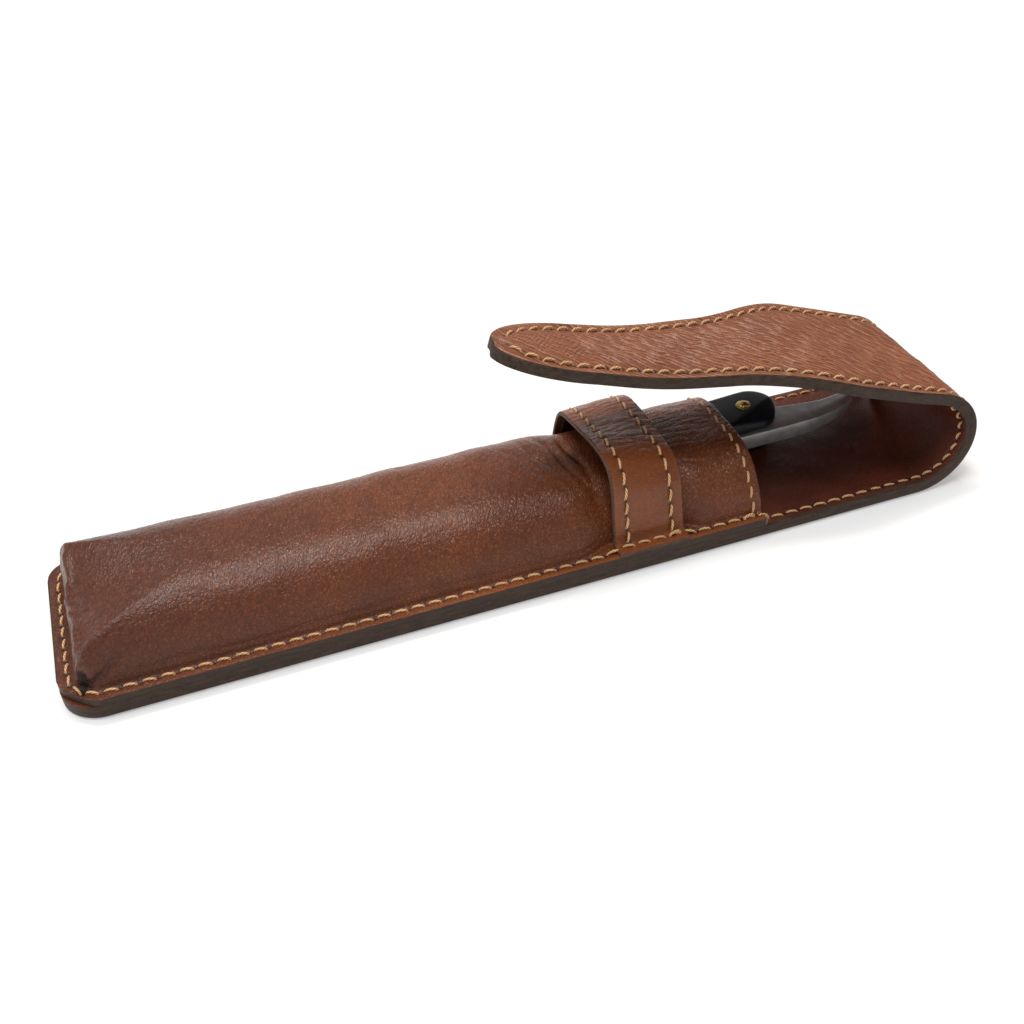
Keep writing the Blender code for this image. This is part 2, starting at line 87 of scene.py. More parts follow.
# (length, turn in degrees) of the flap's stretches after the bend
FLAP_RUN = ((22.9, 0.0), (13.0, 11.5), (21.0, 0.0), (15.0, -9.0), (26.5, 0.0))
BODIES = ("case", "bend_1", "bend_2", "bend_3", "flap")
BEND_LENGTH = BEND_RADIUS * math.radians(BEND_TURN)
BEND_END = BEND_START + BEND_LENGTH
HINGE_PITCH = BEND_LENGTH / (len(BODIES) - 1)
HINGE_REACH = 3.3  # how far from a hinge, each way, the points worked out beside it lie
STRAP_END = BEND_END + sum(length for length, turn in FLAP_RUN)
FLAP_HALF = 18.2
FLAP_HALF_FROM, FLAP_HALF_TO = 222.0, 241.0
TONGUE_HALF = 11.7
TONGUE_FROM = 270.9
TONGUE_END_HALF = 9.7
TIP_LENGTH = 20.0
EDGE_ROUND = 0.42
END_ROUND = 0.4
RIDGE_TURN = 40.0
RIDGE_PITCH = 1.08
RIDGES_FROM, RIDGES_FULL = 172.0, 196.0
TAIL_FOLD_AT, TAIL_FOLD_HIGH = (192.4, 7.4), 3.0  # where the razor's tail pushes the lining up

# The pouch front
FLANGE_LOW = 3.03
FLANGE_TOP = 4.8
MOUTH = 146.3
DOME_START = 3.3
DOME_THICK = 1.3
DOME_HALF, DOME_HALF_AT_BAND = 18.9, 16.6
DOME_TOP_AT_END, DOME_TOP_MIDDLE, DOME_TOP_AT_BAND, DOME_TOP_AT_MOUTH = 18.8, 17.9, 17.6, 17.3
DOME_LEAN = 0.17  # how far the walls come in towards the top, in parts of the half width
DOME_ROUNDNESS, DOME_SQUARENESS = 2.4, 3.3
DOME_TO_EDGE = 2.7
FACING_LENGTH = 13.0
COLUMNS = 220
# (station, slant, depth) of the creases where the band grips the dome
GRIP_CREASES = ((110.2, 0.10, 0.55), (107.4, 0.22, 0.45), (104.2, 0.33, 0.30), (101.0, 0.45, 0.18))

# The keeper band
KEEPER_FROM = 112.0
KEEPER_TO = 128.0
KEEPER_THICK = 1.0
KEEPER_FOOT_THICK = 0.85
KEEPER_LINING_THICK = 0.6
KEEPER_FOOT = FLANGE_TOP + 0.05 + KEEPER_FOOT_THICK
KEEPER_ROWS = (KEEPER_FROM + 3.0, KEEPER_TO - 3.0)
KEEPER_LINING_INSET = 1.4

# Seams
PITCH = 3.5
SEAM_INSET = 1.95
FLAP_SEAM_INSET = 2.4
MOUTH_SEAM_INSET = 2.1
THREAD_RADIUS = 0.275
STITCH_INSET = 0.44  # how far from its hole a stitch comes up
STITCH_DIVE = 0.42
SINK_UNDERNEATH, SINK_OUTSIDE = 0.30, 0.16  # how deep the outer face's holes are
PROUD_UNDERNEATH, PROUD_ON_FLAP = 0.12, 0.30  # how far its stitches stand out
KNOWN_HOLE = 25.46  # the station of one hole of the near side, from which the others are counted
KNOTS_AT = (MOUTH - 3.6, MOUTH + 0.1, KEEPER_TO - 2.6)  # stations of the back-stitched knots


# ---- number helpers

def smooth(low, high, value):
    """0 below low, 1 above high and a soft step between, or the other way round when low > high."""
    part = np.clip((value - low) / (high - low), 0.0, 1.0)
    return part * part * (3.0 - 2.0 * part)


def mix(low, high, part):
    """low where part is 0 and high where it is 1."""
    return low + (high - low) * part


def bump(value, centre, width):
    """1 at the centre, fading out over about the width."""
    return np.exp(-(((value - centre) / width) ** 2))


def lumps(u, v, size, seed):
    """Soft unevenness of about -1 to 1 over (u, v), with features of about this size."""
    draw = np.random.default_rng(seed)
    total = 0.0
    for _ in range(9):
        turn, phase = draw.uniform(0, math.tau, 2)
        wave = size * draw.uniform(1.2, 2.8)
        total = total + np.sin((u * math.cos(turn) + v * math.sin(turn)) * math.tau / wave + phase)
    return total / 3.0


def pebbles(u, v, seed):
    """A pattern of cells of about unit size: 0 on the lines between them, up to 1 inside."""
    spots = np.random.default_rng(seed).uniform(0.0, 1.0, (64, 64, 2))
    column, row = np.floor(u).astype(int), np.floor(v).astype(int)
    near = np.full(u.shape, 9.0)
    second = near.copy()
    for i in (-1, 0, 1):
        for j in (-1, 0, 1):
            spot = spots[(column + i) % 64, (row + j) % 64]
            apart = np.hypot(column + i + spot[..., 0] - u, row + j + spot[..., 1] - v)
            second = np.minimum(second, np.maximum(near, apart))
            near = np.minimum(near, apart)
    return smooth(0.0, 0.45, second - near)


def creases(along, across, turn, long, wide, seed):
    """Cells drawn out along a line at turn degrees, long by wide in mm, pushed about a little."""
    along = along + 0.8 * lumps(along, across, 6.0, seed + 1)
    across = across + 0.8 * lumps(along, across, 6.0, seed + 2)
    c, s = math.cos(math.radians(turn)), math.sin(math.radians(turn))
    return pebbles((along * c + across * s) / long, (across * c - along * s) / wide, seed)


def ridges(along, across, seed):
    """Short wavy ridges at a slant, from about -1 in the valleys to 1 on the crests."""
    c, s = math.cos(math.radians(RIDGE_TURN)), math.sin(math.radians(RIDGE_TURN))
    down, over = along * c + across * s, across * c - along * s
    phase = over * math.tau / RIDGE_PITCH + 1.3 * lumps(down, over, 4.2, seed)
    phase = phase + 0.55 * lumps(down, over, 1.9, seed + 1)
    broken = np.clip(0.62 + 0.62 * lumps(down * 0.6, over * 1.2, 1.4, seed + 2), 0.05, 1.15)
    return np.sin(phase) * broken


def soften(grid, axis, passes):
    """Smooths a grid along an axis and holds its ends."""
    grid = np.moveaxis(grid.copy(), axis, 0)
    for _ in range(passes):
        grid[1:-1] = 0.25 * grid[:-2] + 0.5 * grid[1:-1] + 0.25 * grid[2:]
    return np.moveaxis(grid, 0, axis)


def distances(line):
    """The length along a polyline at each of its points."""
    return np.concatenate([[0.0], np.cumsum(np.linalg.norm(np.diff(line, axis=0), axis=1))])


def read_at(wanted, length, rows):
    """The rows, one for each length, read at the wanted lengths."""
    return np.stack([np.interp(wanted, length, column) for column in rows.T], 1)


def resample(line, count):
    """The polyline as count points, evenly spaced along its length."""
    length = distances(line)
    return read_at(np.linspace(0.0, length[-1], count), length, line)


def curve_through(points, count):
    """A smooth curve (Catmull-Rom) through the points, as count evenly spaced points."""
    p = np.array(points, float)
    p = np.concatenate([[2 * p[0] - p[1]], p, [2 * p[-1] - p[-2]]])
    out = []
    for a, b, c, d in zip(p, p[1:], p[2:], p[3:]):
        t = np.linspace(0, 1, 16, endpoint=False)[:, None]
        out.append(
            0.5 * (2 * b + (c - a) * t + (2 * a - 5 * b + 4 * c - d) * t**2
                   + (3 * b - a - 3 * c + d) * t**3)
        )
    return resample(np.concatenate(out + [p[-2:-1]]), count)


def unit(vectors):
    return vectors / np.maximum(np.linalg.norm(vectors, axis=-1, keepdims=True), 1e-9)


def normals_of(grid):
    """Unit normals of a grid of points, rows first."""
    down = np.gradient(grid, axis=0)
    across = np.gradient(grid, axis=1)
    return unit(np.cross(down, across))


# ---- mesh helpers

def link(name, data):
    """A new object of the scene, with this data."""
    made = bpy.data.objects.new(name, data)
    bpy.context.scene.collection.objects.link(made)
    return made


def make_object(name, verts, faces, materials, zones=None, marks=None, sharp=38.0):
    """An object from points in mm.

    zones gives each face's material by its number, and marks per-vertex attributes, of one or three
    values. Edges that turn by more than sharp degrees stay sharp.
    """
    mesh = bpy.data.meshes.new(name)
    placed = (np.asarray(verts, float) + (CLOSED_END, 0.0, 0.0)) * MM
    mesh.from_pydata(placed.tolist(), [], faces)
    for found in materials:
        mesh.materials.append(found)
    if zones is not None:
        mesh.polygons.foreach_set("material_index", np.asarray(zones, np.int32))
    for key, values in (marks or {}).items():
        values = np.asarray(values, np.float32)
        kind, field = ("FLOAT", "value") if values.ndim == 1 else ("FLOAT_VECTOR", "vector")
        mesh.attributes.new(key, kind, "POINT").data.foreach_set(field, values.ravel())
    shape = bmesh.new()
    shape.from_mesh(mesh)
    bmesh.ops.recalc_face_normals(shape, faces=shape.faces)
    shape.to_mesh(mesh)
    shape.free()
    mesh.shade_smooth()
    mesh.set_sharp_from_angle(angle=math.radians(sharp))
    return link(name, mesh)


def quads(rows, columns):
    """The quads of a grid whose rows are closed rings."""
    i = np.arange(rows - 1)[:, None] * columns
    j = np.arange(columns)[None, :]
    k = (j + 1) % columns
    return np.stack([i + j, i + k, i + columns + k, i + columns + j], -1).reshape(-1, 4)


def tube(name, points, materials, zones=None, cap_zone=0, marks=None, sharp=38.0):
    """A solid from rings of points (rows, columns, 3), with a cap at each end."""
    rows, columns = points.shape[:2]
    faces = quads(rows, columns).tolist()
    faces += [list(range(columns)), list(range((rows - 1) * columns, rows * columns))]
    if zones is not None:
        zones = [*zones.ravel(), cap_zone, cap_zone]
    size = rows * columns
    flat = {key: values.reshape(size, *values.shape[2:]) for key, values in (marks or {}).items()}
    return make_object(name, points.reshape(-1, 3), faces, materials, zones, flat, sharp)


# ---- shader helpers

class Graph:
    """Builds one material's nodes."""

    def __init__(self, name):
        self.material = bpy.data.materials.new(name)
        self.material.use_nodes = True
        self.tree = self.material.node_tree
        self.shader = self.tree.nodes["Principled BSDF"]

    def put(self, socket, value):
        if isinstance(value, bpy.types.NodeSocket):
            self.tree.links.new(value, socket)
        elif isinstance(value, tuple) and len(value) == 3 and socket.type == "RGBA":
            socket.default_value = (*value, 1.0)
        else:
            socket.default_value = value

    def node(self, kind, settings=None, **inputs):
        made = self.tree.nodes.new(kind)
        for key, value in (settings or {}).items():
            setattr(made, key, value)
        for key, value in inputs.items():
            self.put(made.inputs[key.replace("_", " ")], value)
        return made

    def attribute(self, name, output="Fac"):
        return self.node("ShaderNodeAttribute", {"attribute_name": name}).outputs[output]

    def wired(self, kind, settings, values):
        """The first output of a new node, with the values put in its sockets in order."""
        made = self.node(kind, settings)
        for socket, value in zip(made.inputs, values):
            self.put(socket, value)
        return made.outputs[0]

    def place(self):
        """The position on the object, in metres."""
        return self.node("ShaderNodeTexCoord").outputs["Object"]

    def math(self, operation, a, b):
        return self.wired("ShaderNodeMath", {"operation": operation}, (a, b))

    def times(self, a, b):
        return self.math("MULTIPLY", a, b)

    def plus(self, a, b):
        return self.math("ADD", a, b)

    def vector(self, operation, *values):
        return self.wired("ShaderNodeVectorMath", {"operation": operation}, values)

    def ramp(self, value, low, high, to_low=0.0, to_high=1.0):
        """A soft step of the value between low and high."""
        values = (value, low, high, to_low, to_high)
        return self.wired("ShaderNodeMapRange", {"interpolation_type": "SMOOTHSTEP"}, values)

    def blend(self, part, a, b):
        """Colour a where part is 0 and b where it is 1. Sockets 6, 7 and 2 are the node's colours."""
        made = self.node("ShaderNodeMix", {"data_type": "RGBA"})
        for number, value in ((0, part), (6, a), (7, b)):
            self.put(made.inputs[number], value)
        return made.outputs[2]

    def noise(self, vector, scale, detail=2.0, roughness=0.5, output="Fac"):
        inputs = {"Vector": vector, "Scale": scale, "Detail": detail, "Roughness": roughness}
        return self.node("ShaderNodeTexNoise", **inputs).outputs[output]

    def cells(self, vector, high):
        """A pattern of cells with grooves between them: 0 in the grooves, 1 on the cells."""
        kind, settings = "ShaderNodeTexVoronoi", {"feature": "DISTANCE_TO_EDGE"}
        made = self.node(kind, settings, Vector=vector, Scale=1.0)
        return self.ramp(made.outputs["Distance"], 0.0, high)

    def shift(self, vector, amount, scale):
        """The vector, pushed about by a noise, so that a pattern on it isn't regular."""
        centred = self.vector("SUBTRACT", self.noise(vector, scale, 1.0, output="Color"), (0.5,) * 3)
        return self.vector("MULTIPLY_ADD", centred, (amount,) * 3, vector)

    def mapped(self, vector, turn, scale):
        """The vector, turned about its third axis and then scaled."""
        rotation = (0.0, 0.0, -math.radians(turn))
        turned = self.node("ShaderNodeMapping", None, Vector=vector, Rotation=rotation)
        return self.vector("MULTIPLY", turned.outputs[0], scale)

    def finish(self, colour, roughness, height=None, strength=1.0, distance=0.0001, **settings):
        """Wires the shader up. The height is in units of distance, in metres, and drives a bump."""
        self.put(self.shader.inputs["Base Color"], colour)
        self.put(self.shader.inputs["Roughness"], roughness)
        for key, value in settings.items():
            self.shader.inputs[key.replace("_", " ")].default_value = value
        if height is not None:
            made = self.node("ShaderNodeBump", Strength=strength, Distance=distance, Height=height)
            self.put(self.shader.inputs["Normal"], made.outputs[0])
            self.put(self.shader.inputs["Coat Normal"], made.outputs[0])
        return self.material


# ---- materials

def leather(name, tint, dark, light, cell, stretch, turn, gloss, depth, lines, coat, valleys,
            end_tint=None, worn_and_highlight_colour=None):
    """Grained leather. Its pattern lies on the attribute flat, in mm.

    cell is the size of a pebble of the grain, drawn out by stretch along a line at turn degrees, and
    depth is how deep the grain is in mm. lines is how much of it is long creases, valleys how much
    painted shade darkens the grooves between the pebbles, gloss the roughness, and coat the strength
    of the finish. end_tint is the colour towards the closed end, and the last argument the colour of
    rubbed edges and of the painted highlight on crests.
    """
    g = Graph(name)
    flat = g.attribute("flat", "Vector")
    pushed = g.shift(flat, 0.9, 0.6)
    small, tiny = 1 / cell, 2.3 / cell
    pebble = g.cells(g.mapped(pushed, turn, (small / stretch, small, small)), 0.32)
    pore = g.cells(g.mapped(g.shift(flat, 0.4, 1.6), turn, (tiny / stretch, tiny, tiny)), 0.25)
    long = g.mapped(pushed, turn, (0.16 / cell, 1.15 / cell, 1.15 / cell))
    crease = g.ramp(g.noise(long, 1.0, 3.0, 0.6), 0.34, 0.62)
    patchy = g.ramp(g.noise(flat, 0.16, 3.0, 0.55), 0.3, 0.7, 0.6, 1.0)
    height = g.times(pebble, patchy)
    for part, strength in ((pore, 0.35), (crease, lines), (g.noise(flat, 1.1, 4.0, 0.65), 0.9)):
        height = g.plus(height, g.times(part, strength))

    colour = g.blend(g.ramp(g.noise(flat, 0.06, 4.0, 0.6), 0.34, 0.66), dark, tint)
    if end_tint:
        x = g.node("ShaderNodeSeparateXYZ", Vector=flat).outputs[0]
        wander = g.times(g.noise(flat, 0.05, 3.0), 40.0)
        colour = g.blend(g.ramp(g.plus(x, wander), 9.5, 114.5, 0.85, 0.0), colour, end_tint)
    valley = g.math("SUBTRACT", 1.0, pebble)
    # Painted shade darkens the grooves between the pebbles, and the holes, hollows and valleys that
    # the shade attribute marks; the last layer is rubbed edges and, on the strap, a painted highlight
    # on the crests.
    layers = (
        (g.ramp(g.noise(flat, 0.9, 4.0, 0.7), 0.40, 0.70), 0.08, light),
        (g.ramp(g.noise(flat, 2.2, 3.0, 0.6), 0.56, 0.70), 0.22, dark),
        (valley, valleys, (0.040, 0.012, 0.008)),
        (g.math("SUBTRACT", 1.0, crease), lines * 0.45, dark),
        (g.attribute("shade"), 1.0, (0.010, 0.005, 0.004)),
        (g.attribute("wear_and_painted_highlight"), 0.85, worn_and_highlight_colour or WORN),
    )
    for part, strength, layer in layers:
        colour = g.blend(g.times(part, strength), colour, layer)
    roughness = g.ramp(g.noise(flat, 0.35, 3.0), 0.3, 0.7, gloss - 0.05, gloss + 0.07)
    roughness = g.plus(roughness, g.times(valley, 0.14))
    return g.finish(
        colour, roughness, height, 1.0, depth * MM, Specular_IOR_Level=0.21, Coat_Weight=coat,
        Coat_Roughness=0.16
    )


def edge_paint(name, low, high):
    """The waxy paint on cut edges, with the fibres of the leather showing through."""
    g = Graph(name)
    flat = g.attribute("flat", "Vector")
    drawn = g.mapped(flat, 0.0, (0.35, 2.2, 2.2))
    fibre = g.noise(drawn, 1.0, 4.0, 0.65)
    spots = g.ramp(g.noise(flat, 1.1, 3.0), 0.55, 0.75)
    colour = g.blend(g.ramp(fibre, 0.3, 0.7), low, high)
    colour = g.blend(g.times(spots, 0.35), colour, (0.085, 0.050, 0.032))
    height = g.plus(fibre, g.times(g.noise(flat, 1.3, 3.0), 0.8))
    roughness = g.ramp(fibre, 0.3, 0.7, 0.42, 0.62)
    return g.finish(colour, roughness, height, 0.8, 0.00012, Specular_IOR_Level=0.18)


def flesh():
    """The leather's rough inner side, which shows only where layers part."""
    g = Graph("leather_flesh_side")
    flat = g.attribute("flat", "Vector")
    nap = g.noise(flat, 2.5, 5.0, 0.7)
    colour = g.blend(nap, (0.10, 0.045, 0.025), (0.22, 0.12, 0.07))
    return g.finish(colour, 0.9, nap, 1.0, 0.0002, Specular_IOR_Level=0.2)


def waxed_thread():
    """Waxed linen thread, a little soiled. strand is high on its strands and low between them."""
    g = Graph("waxed_thread")
    place = g.place()
    strand = g.attribute("strand")
    fuzz = g.noise(place, 3500.0, 2.0)
    # Darker between the strands: painted shade in the grooves of the twist.
    colour = g.blend(g.ramp(strand, 0.0, 0.7), (0.25, 0.11, 0.038), (0.80, 0.51, 0.25))
    soiled = g.ramp(g.noise(place, 170.0, 2.0), 0.35, 0.7, 0.0, 0.4)
    colour = g.blend(soiled, colour, (0.40, 0.20, 0.075))
    height = g.plus(strand, g.times(fuzz, 0.4))
    return g.finish(colour, 0.5, height, 0.7, 0.00006)


def horn_scales():
    """Dark scales, satin from use, with fine scratches along them."""
    g = Graph("horn_scales")
    place = g.place()
    scratched = g.mapped(place, 4.0, (260.0, 5200.0, 5200.0))
    scratch = g.noise(scratched, 1.0, 3.0, 0.6)
    cloud = g.noise(place, 220.0, 3.0)
    colour = g.blend(g.ramp(cloud, 0.3, 0.7), (0.0028, 0.0040, 0.0068), (0.0060, 0.0088, 0.0140))
    roughness = g.ramp(scratch, 0.3, 0.7, 0.34, 0.46)
    return g.finish(colour, roughness, scratch, 0.25, 0.00003, Specular_IOR_Level=0.26)


def brushed_steel():
    """Steel with fine grinding lines across the tang."""
    g = Graph("brushed_steel")
    place = g.place()
    lines = g.noise(g.mapped(place, 78.0, (500.0, 14000.0, 9000.0)), 1.0, 3.0, 0.6)
    cloud = g.noise(place, 300.0, 3.0)
    colour = g.blend(g.ramp(cloud, 0.35, 0.65), (0.33, 0.315, 0.32), (0.43, 0.41, 0.42))
    roughness = g.ramp(lines, 0.3, 0.7, 0.34, 0.50)
    return g.finish(colour, roughness, lines, 0.25, 0.00002, Metallic=0.6)


def brass():
    """Brass with old stains."""
    g = Graph("brass")
    place = g.place()
    stain = g.noise(place, 900.0, 4.0, 0.65)
    colour = g.blend(g.ramp(stain, 0.35, 0.65), (0.30, 0.17, 0.045), (0.80, 0.58, 0.23))
    roughness = g.ramp(stain, 0.35, 0.65, 0.38, 0.22)
    return g.finish(colour, roughness, stain, 0.3, 0.00004, Metallic=1.0)


def bone():
    """Pale bone, with its grain along the razor."""
    g = Graph("bone")
    place = g.place()
    grain = g.noise(g.mapped(place, 0.0, (250.0, 2400.0, 2400.0)), 1.0, 3.0)
    colour = g.blend(grain, (0.42, 0.34, 0.22), (0.70, 0.62, 0.48))
    return g.finish(colour, 0.45, grain, 0.3, 0.00005)


# The pouch's leather, and where any of the leathers is rubbed
TINT = (0.245, 0.068, 0.019)
DARK = (0.165, 0.044, 0.014)
LIGHT = (0.320, 0.105, 0.038)
WORN = (0.270, 0.082, 0.024)
POUCH_LEATHER = leather(
    "pouch_leather", TINT, DARK, LIGHT, cell=0.66, stretch=1.8, turn=62.0, gloss=0.24, depth=0.045,
    lines=0.75, coat=0.27, valleys=0.60, end_tint=(0.074, 0.021, 0.014)
)
BAND_LEATHER = leather(
    "band_leather", (0.255, 0.070, 0.016), (0.190, 0.050, 0.013), LIGHT, cell=0.70, stretch=1.6,
    turn=-8.0, gloss=0.23, depth=0.034, lines=0.4, coat=0.30, valleys=0.30
)
# The strap's last colour is pale: it serves rubbed edges and the painted highlight on the crests.
STRAP_LEATHER = leather(
    "strap_leather", (0.285, 0.090, 0.038), (0.215, 0.064, 0.027), (0.400, 0.175, 0.105), cell=0.70,
    stretch=1.8, turn=41.0, gloss=0.38, depth=0.035, lines=0.25, coat=0.15, valleys=0.25,
    worn_and_highlight_colour=(0.560, 0.265, 0.160)
)
LINING_LEATHER = leather(
    "lining_leather", (0.145, 0.030, 0.013), (0.078, 0.016, 0.007), (0.190, 0.050, 0.022), cell=0.6,
    stretch=2.2, turn=80.0, gloss=0.36, depth=0.045, lines=0.5, coat=0.15, valleys=0.4
)
PAINT = edge_paint("edge_paint", (0.032, 0.0185, 0.0135), (0.066, 0.042, 0.030))
BAND_PAINT = edge_paint("band_edge_paint", (0.070, 0.032, 0.020), (0.125, 0.068, 0.045))
FLESH = flesh()
THREAD = waxed_thread()
SCALES = horn_scales()
STEEL = brushed_steel()
BRASS = brass()
BONE = bone()


# ---- the strap's line

def strap_line():
    """Tables of length along the strap, station, height and heading of its outer face.

    The bend is part of an ellipse, a little deeper than it is tall.
    """
    turn = np.linspace(0.0, math.pi, 4000)
    slope = np.degrees(np.arctan2(BEND_TALL * np.sin(turn), BEND_DEEP * np.cos(turn)))
    turn, slope = turn[slope <= BEND_LAST_HEADING], slope[slope <= BEND_LAST_HEADING]
    arc = np.hypot(np.diff(BEND_DEEP * np.sin(turn)), np.diff(BEND_TALL * np.cos(turn)))
    bend = BEND_START - BEND_LEAD + np.concatenate([[0.0], np.cumsum(arc)])
    ends = [0.0, *bend, BEND_END]
    headings = [0.0, *np.radians(slope), math.radians(BEND_LAST_HEADING)]
    for length, turned in FLAP_RUN:
        ends.append(ends[-1] + length)
        headings.append(headings[-1] + math.radians(turned))
    along = np.arange(0.0, STRAP_END + 1.0, 0.02)
    heading = np.interp(along, ends, headings)
    step = np.diff(along)
    middle = (heading[1:] + heading[:-1]) / 2
    station = np.concatenate([[0.0], np.cumsum(step * np.cos(middle))])
    height = np.concatenate([[0.0], np.cumsum(step * np.sin(middle))])
    return along, station, height, heading


LINE = strap_line()


def half_width(along):
    """Half the strap's width: full along the back, narrower at the flap, the tongue and its tip."""
    half = mix(HALF_CASE, FLAP_HALF, smooth(BEND_START, FLAP_HALF_FROM, along))
    half = mix(half, TONGUE_HALF, smooth(FLAP_HALF_TO, TONGUE_FROM, along))
    tip_from = STRAP_END - TIP_LENGTH
    taper = np.clip((along - TONGUE_FROM) / (tip_from - TONGUE_FROM), 0.0, 1.0)
    half = half - (TONGUE_HALF - TONGUE_END_HALF) * taper
    part = np.clip((along - tip_from) / (TIP_LENGTH + 0.05), 0.0, 1.0)
    return half * np.sqrt(1.0 - part**2)


def heading_at(along):
    """Which way the strap runs, in radians up from the case's direction."""
    return np.interp(along, LINE[0], LINE[3])


def place(along, across, depth):
    """Points of the strap in mm."""
    along, across, depth = np.broadcast_arrays(along, across, depth)
    to_near_side = np.clip(-across / np.maximum(half_width(along), 1.0), 0, 1)
    depth = depth + FLAP_CURL * to_near_side**2 * smooth(BEND_END - 14, BEND_END + 8, along)
    turn = heading_at(along)
    station = np.interp(along, LINE[0], LINE[1]) - np.sin(turn) * depth
    height = np.interp(along, LINE[0], LINE[2]) + np.cos(turn) * depth
    return np.stack([station, across, height], -1)


def inward(along):
    """The direction from the strap's outer face to its lining."""
    turn = heading_at(along)
    return np.stack([-np.sin(turn), np.zeros_like(turn), np.cos(turn)], -1)


def corner_cut(along, radius):
    """How much a rounded corner of the closed end takes off the half width."""
    inside = np.clip(radius - along, 0.0, radius)
    return radius - np.sqrt(radius**2 - inside**2)


def near_edge(along):
    return -(half_width(along) - corner_cut(along, NEAR_CORNER))


def far_edge(along):
    return half_width(along) - corner_cut(along, FAR_CORNER)


def hinge_along(number):
    """Where on the strap the hinge is, counted from 1."""
    return BEND_START + HINGE_PITCH * (number - 0.5)


# ---- the perimeter seam's holes

def seam_loop():
    """The seam's path in (along, across), from the tongue's tip by the near side round to the tip."""
    tip = STRAP_END - 25
    along = np.concatenate([np.arange(STRAP_END, tip, -0.05), np.arange(tip, 0, -0.25)])
    near = np.stack([along, near_edge(along)], 1)
    far = np.stack([along, far_edge(along)], 1)[::-1]
    outline = resample(np.concatenate([near, far]), 3200)
    forward = soften(unit(np.gradient(outline, axis=0)), 0, 12)
    inside = unit(np.stack([forward[:, 1], -forward[:, 0]], 1))
    inset = mix(SEAM_INSET, FLAP_SEAM_INSET, smooth(BEND_START, BEND_END, outline[:, 0]))[:, None]
    path = outline + inside * inset
    path = path[path[:, 0] < STRAP_END - FLAP_SEAM_INSET]
    return resample(soften(path, 0, 30), 3000)


def seam_holes():
    """Holes of the perimeter seam, evenly spaced, with one at a known station of the near side."""
    loop = seam_loop()
    length = distances(loop)
    count = int(round(length[-1] / PITCH))
    pitch = length[-1] / count
    near = np.flatnonzero(loop[:, 1] < 0)
    start = length[near[np.argmin(np.abs(loop[near, 0] - KNOWN_HOLE))]] % pitch
    wanted = start + np.arange(count) * pitch
    return read_at(wanted[wanted < length[-1]], length, loop)


HOLES = seam_holes()


def hole_marks(points, holes, width):
    """How near each point (..., 2 or 3) is to a hole, from 0 to 1."""
    found = np.zeros(points.shape[:-1])
    for hole in holes:
        apart = ((points - hole) ** 2).sum(-1)
        found = np.maximum(found, np.exp(-apart / width**2))
    return found


def near_seam(points, width):
    """How near each point of the strap (..., 2) is to the seam's line, from 0 to 1."""
    along, across = points[..., 0], points[..., 1]
    inset = mix(SEAM_INSET, FLAP_SEAM_INSET, smooth(BEND_START, BEND_END, along))
    edge = np.minimum(across - near_edge(along), far_edge(along) - across)
    edge = np.minimum(edge, along)
    return np.exp(-(((edge - inset) / width) ** 2))


# ---- the strap's pieces

def lining_fold(along, across):
    """The soft fold that the razor's tail pushes up in the lining, in mm."""
    down, off = along - TAIL_FOLD_AT[0], across - TAIL_FOLD_AT[1]
    run = -(0.44 * down + 0.90 * off)
    beside = 0.90 * down - 0.44 * off
    ridge = np.exp(-np.sqrt(beside**2 + 0.06) / (1.3 + 0.35 * np.clip(run, 0, 12)))
    return TAIL_FOLD_HIGH * ridge * np.exp(-np.abs(run) / np.where(run > 0, 6.5, 1.8))


def strap_stations(start, end, spacing):
    """Where a stretch of the strap has its rows: closer together round the corner and the tip."""
    along = np.linspace(start, end, max(int((end - start) / spacing), 8) + 1)
    if start == 0.0:
        corner = NEAR_CORNER * (1 - np.cos(np.linspace(0, math.pi / 2, 26)))
        along = np.concatenate([corner, along[along > NEAR_CORNER + 0.1]])
    if end == STRAP_END:
        tip = end - TIP_LENGTH * (1 - np.sin(np.linspace(0, math.pi / 2, 46)))
        along = np.concatenate([along[along < tip[0] - 0.1], tip])
    return along


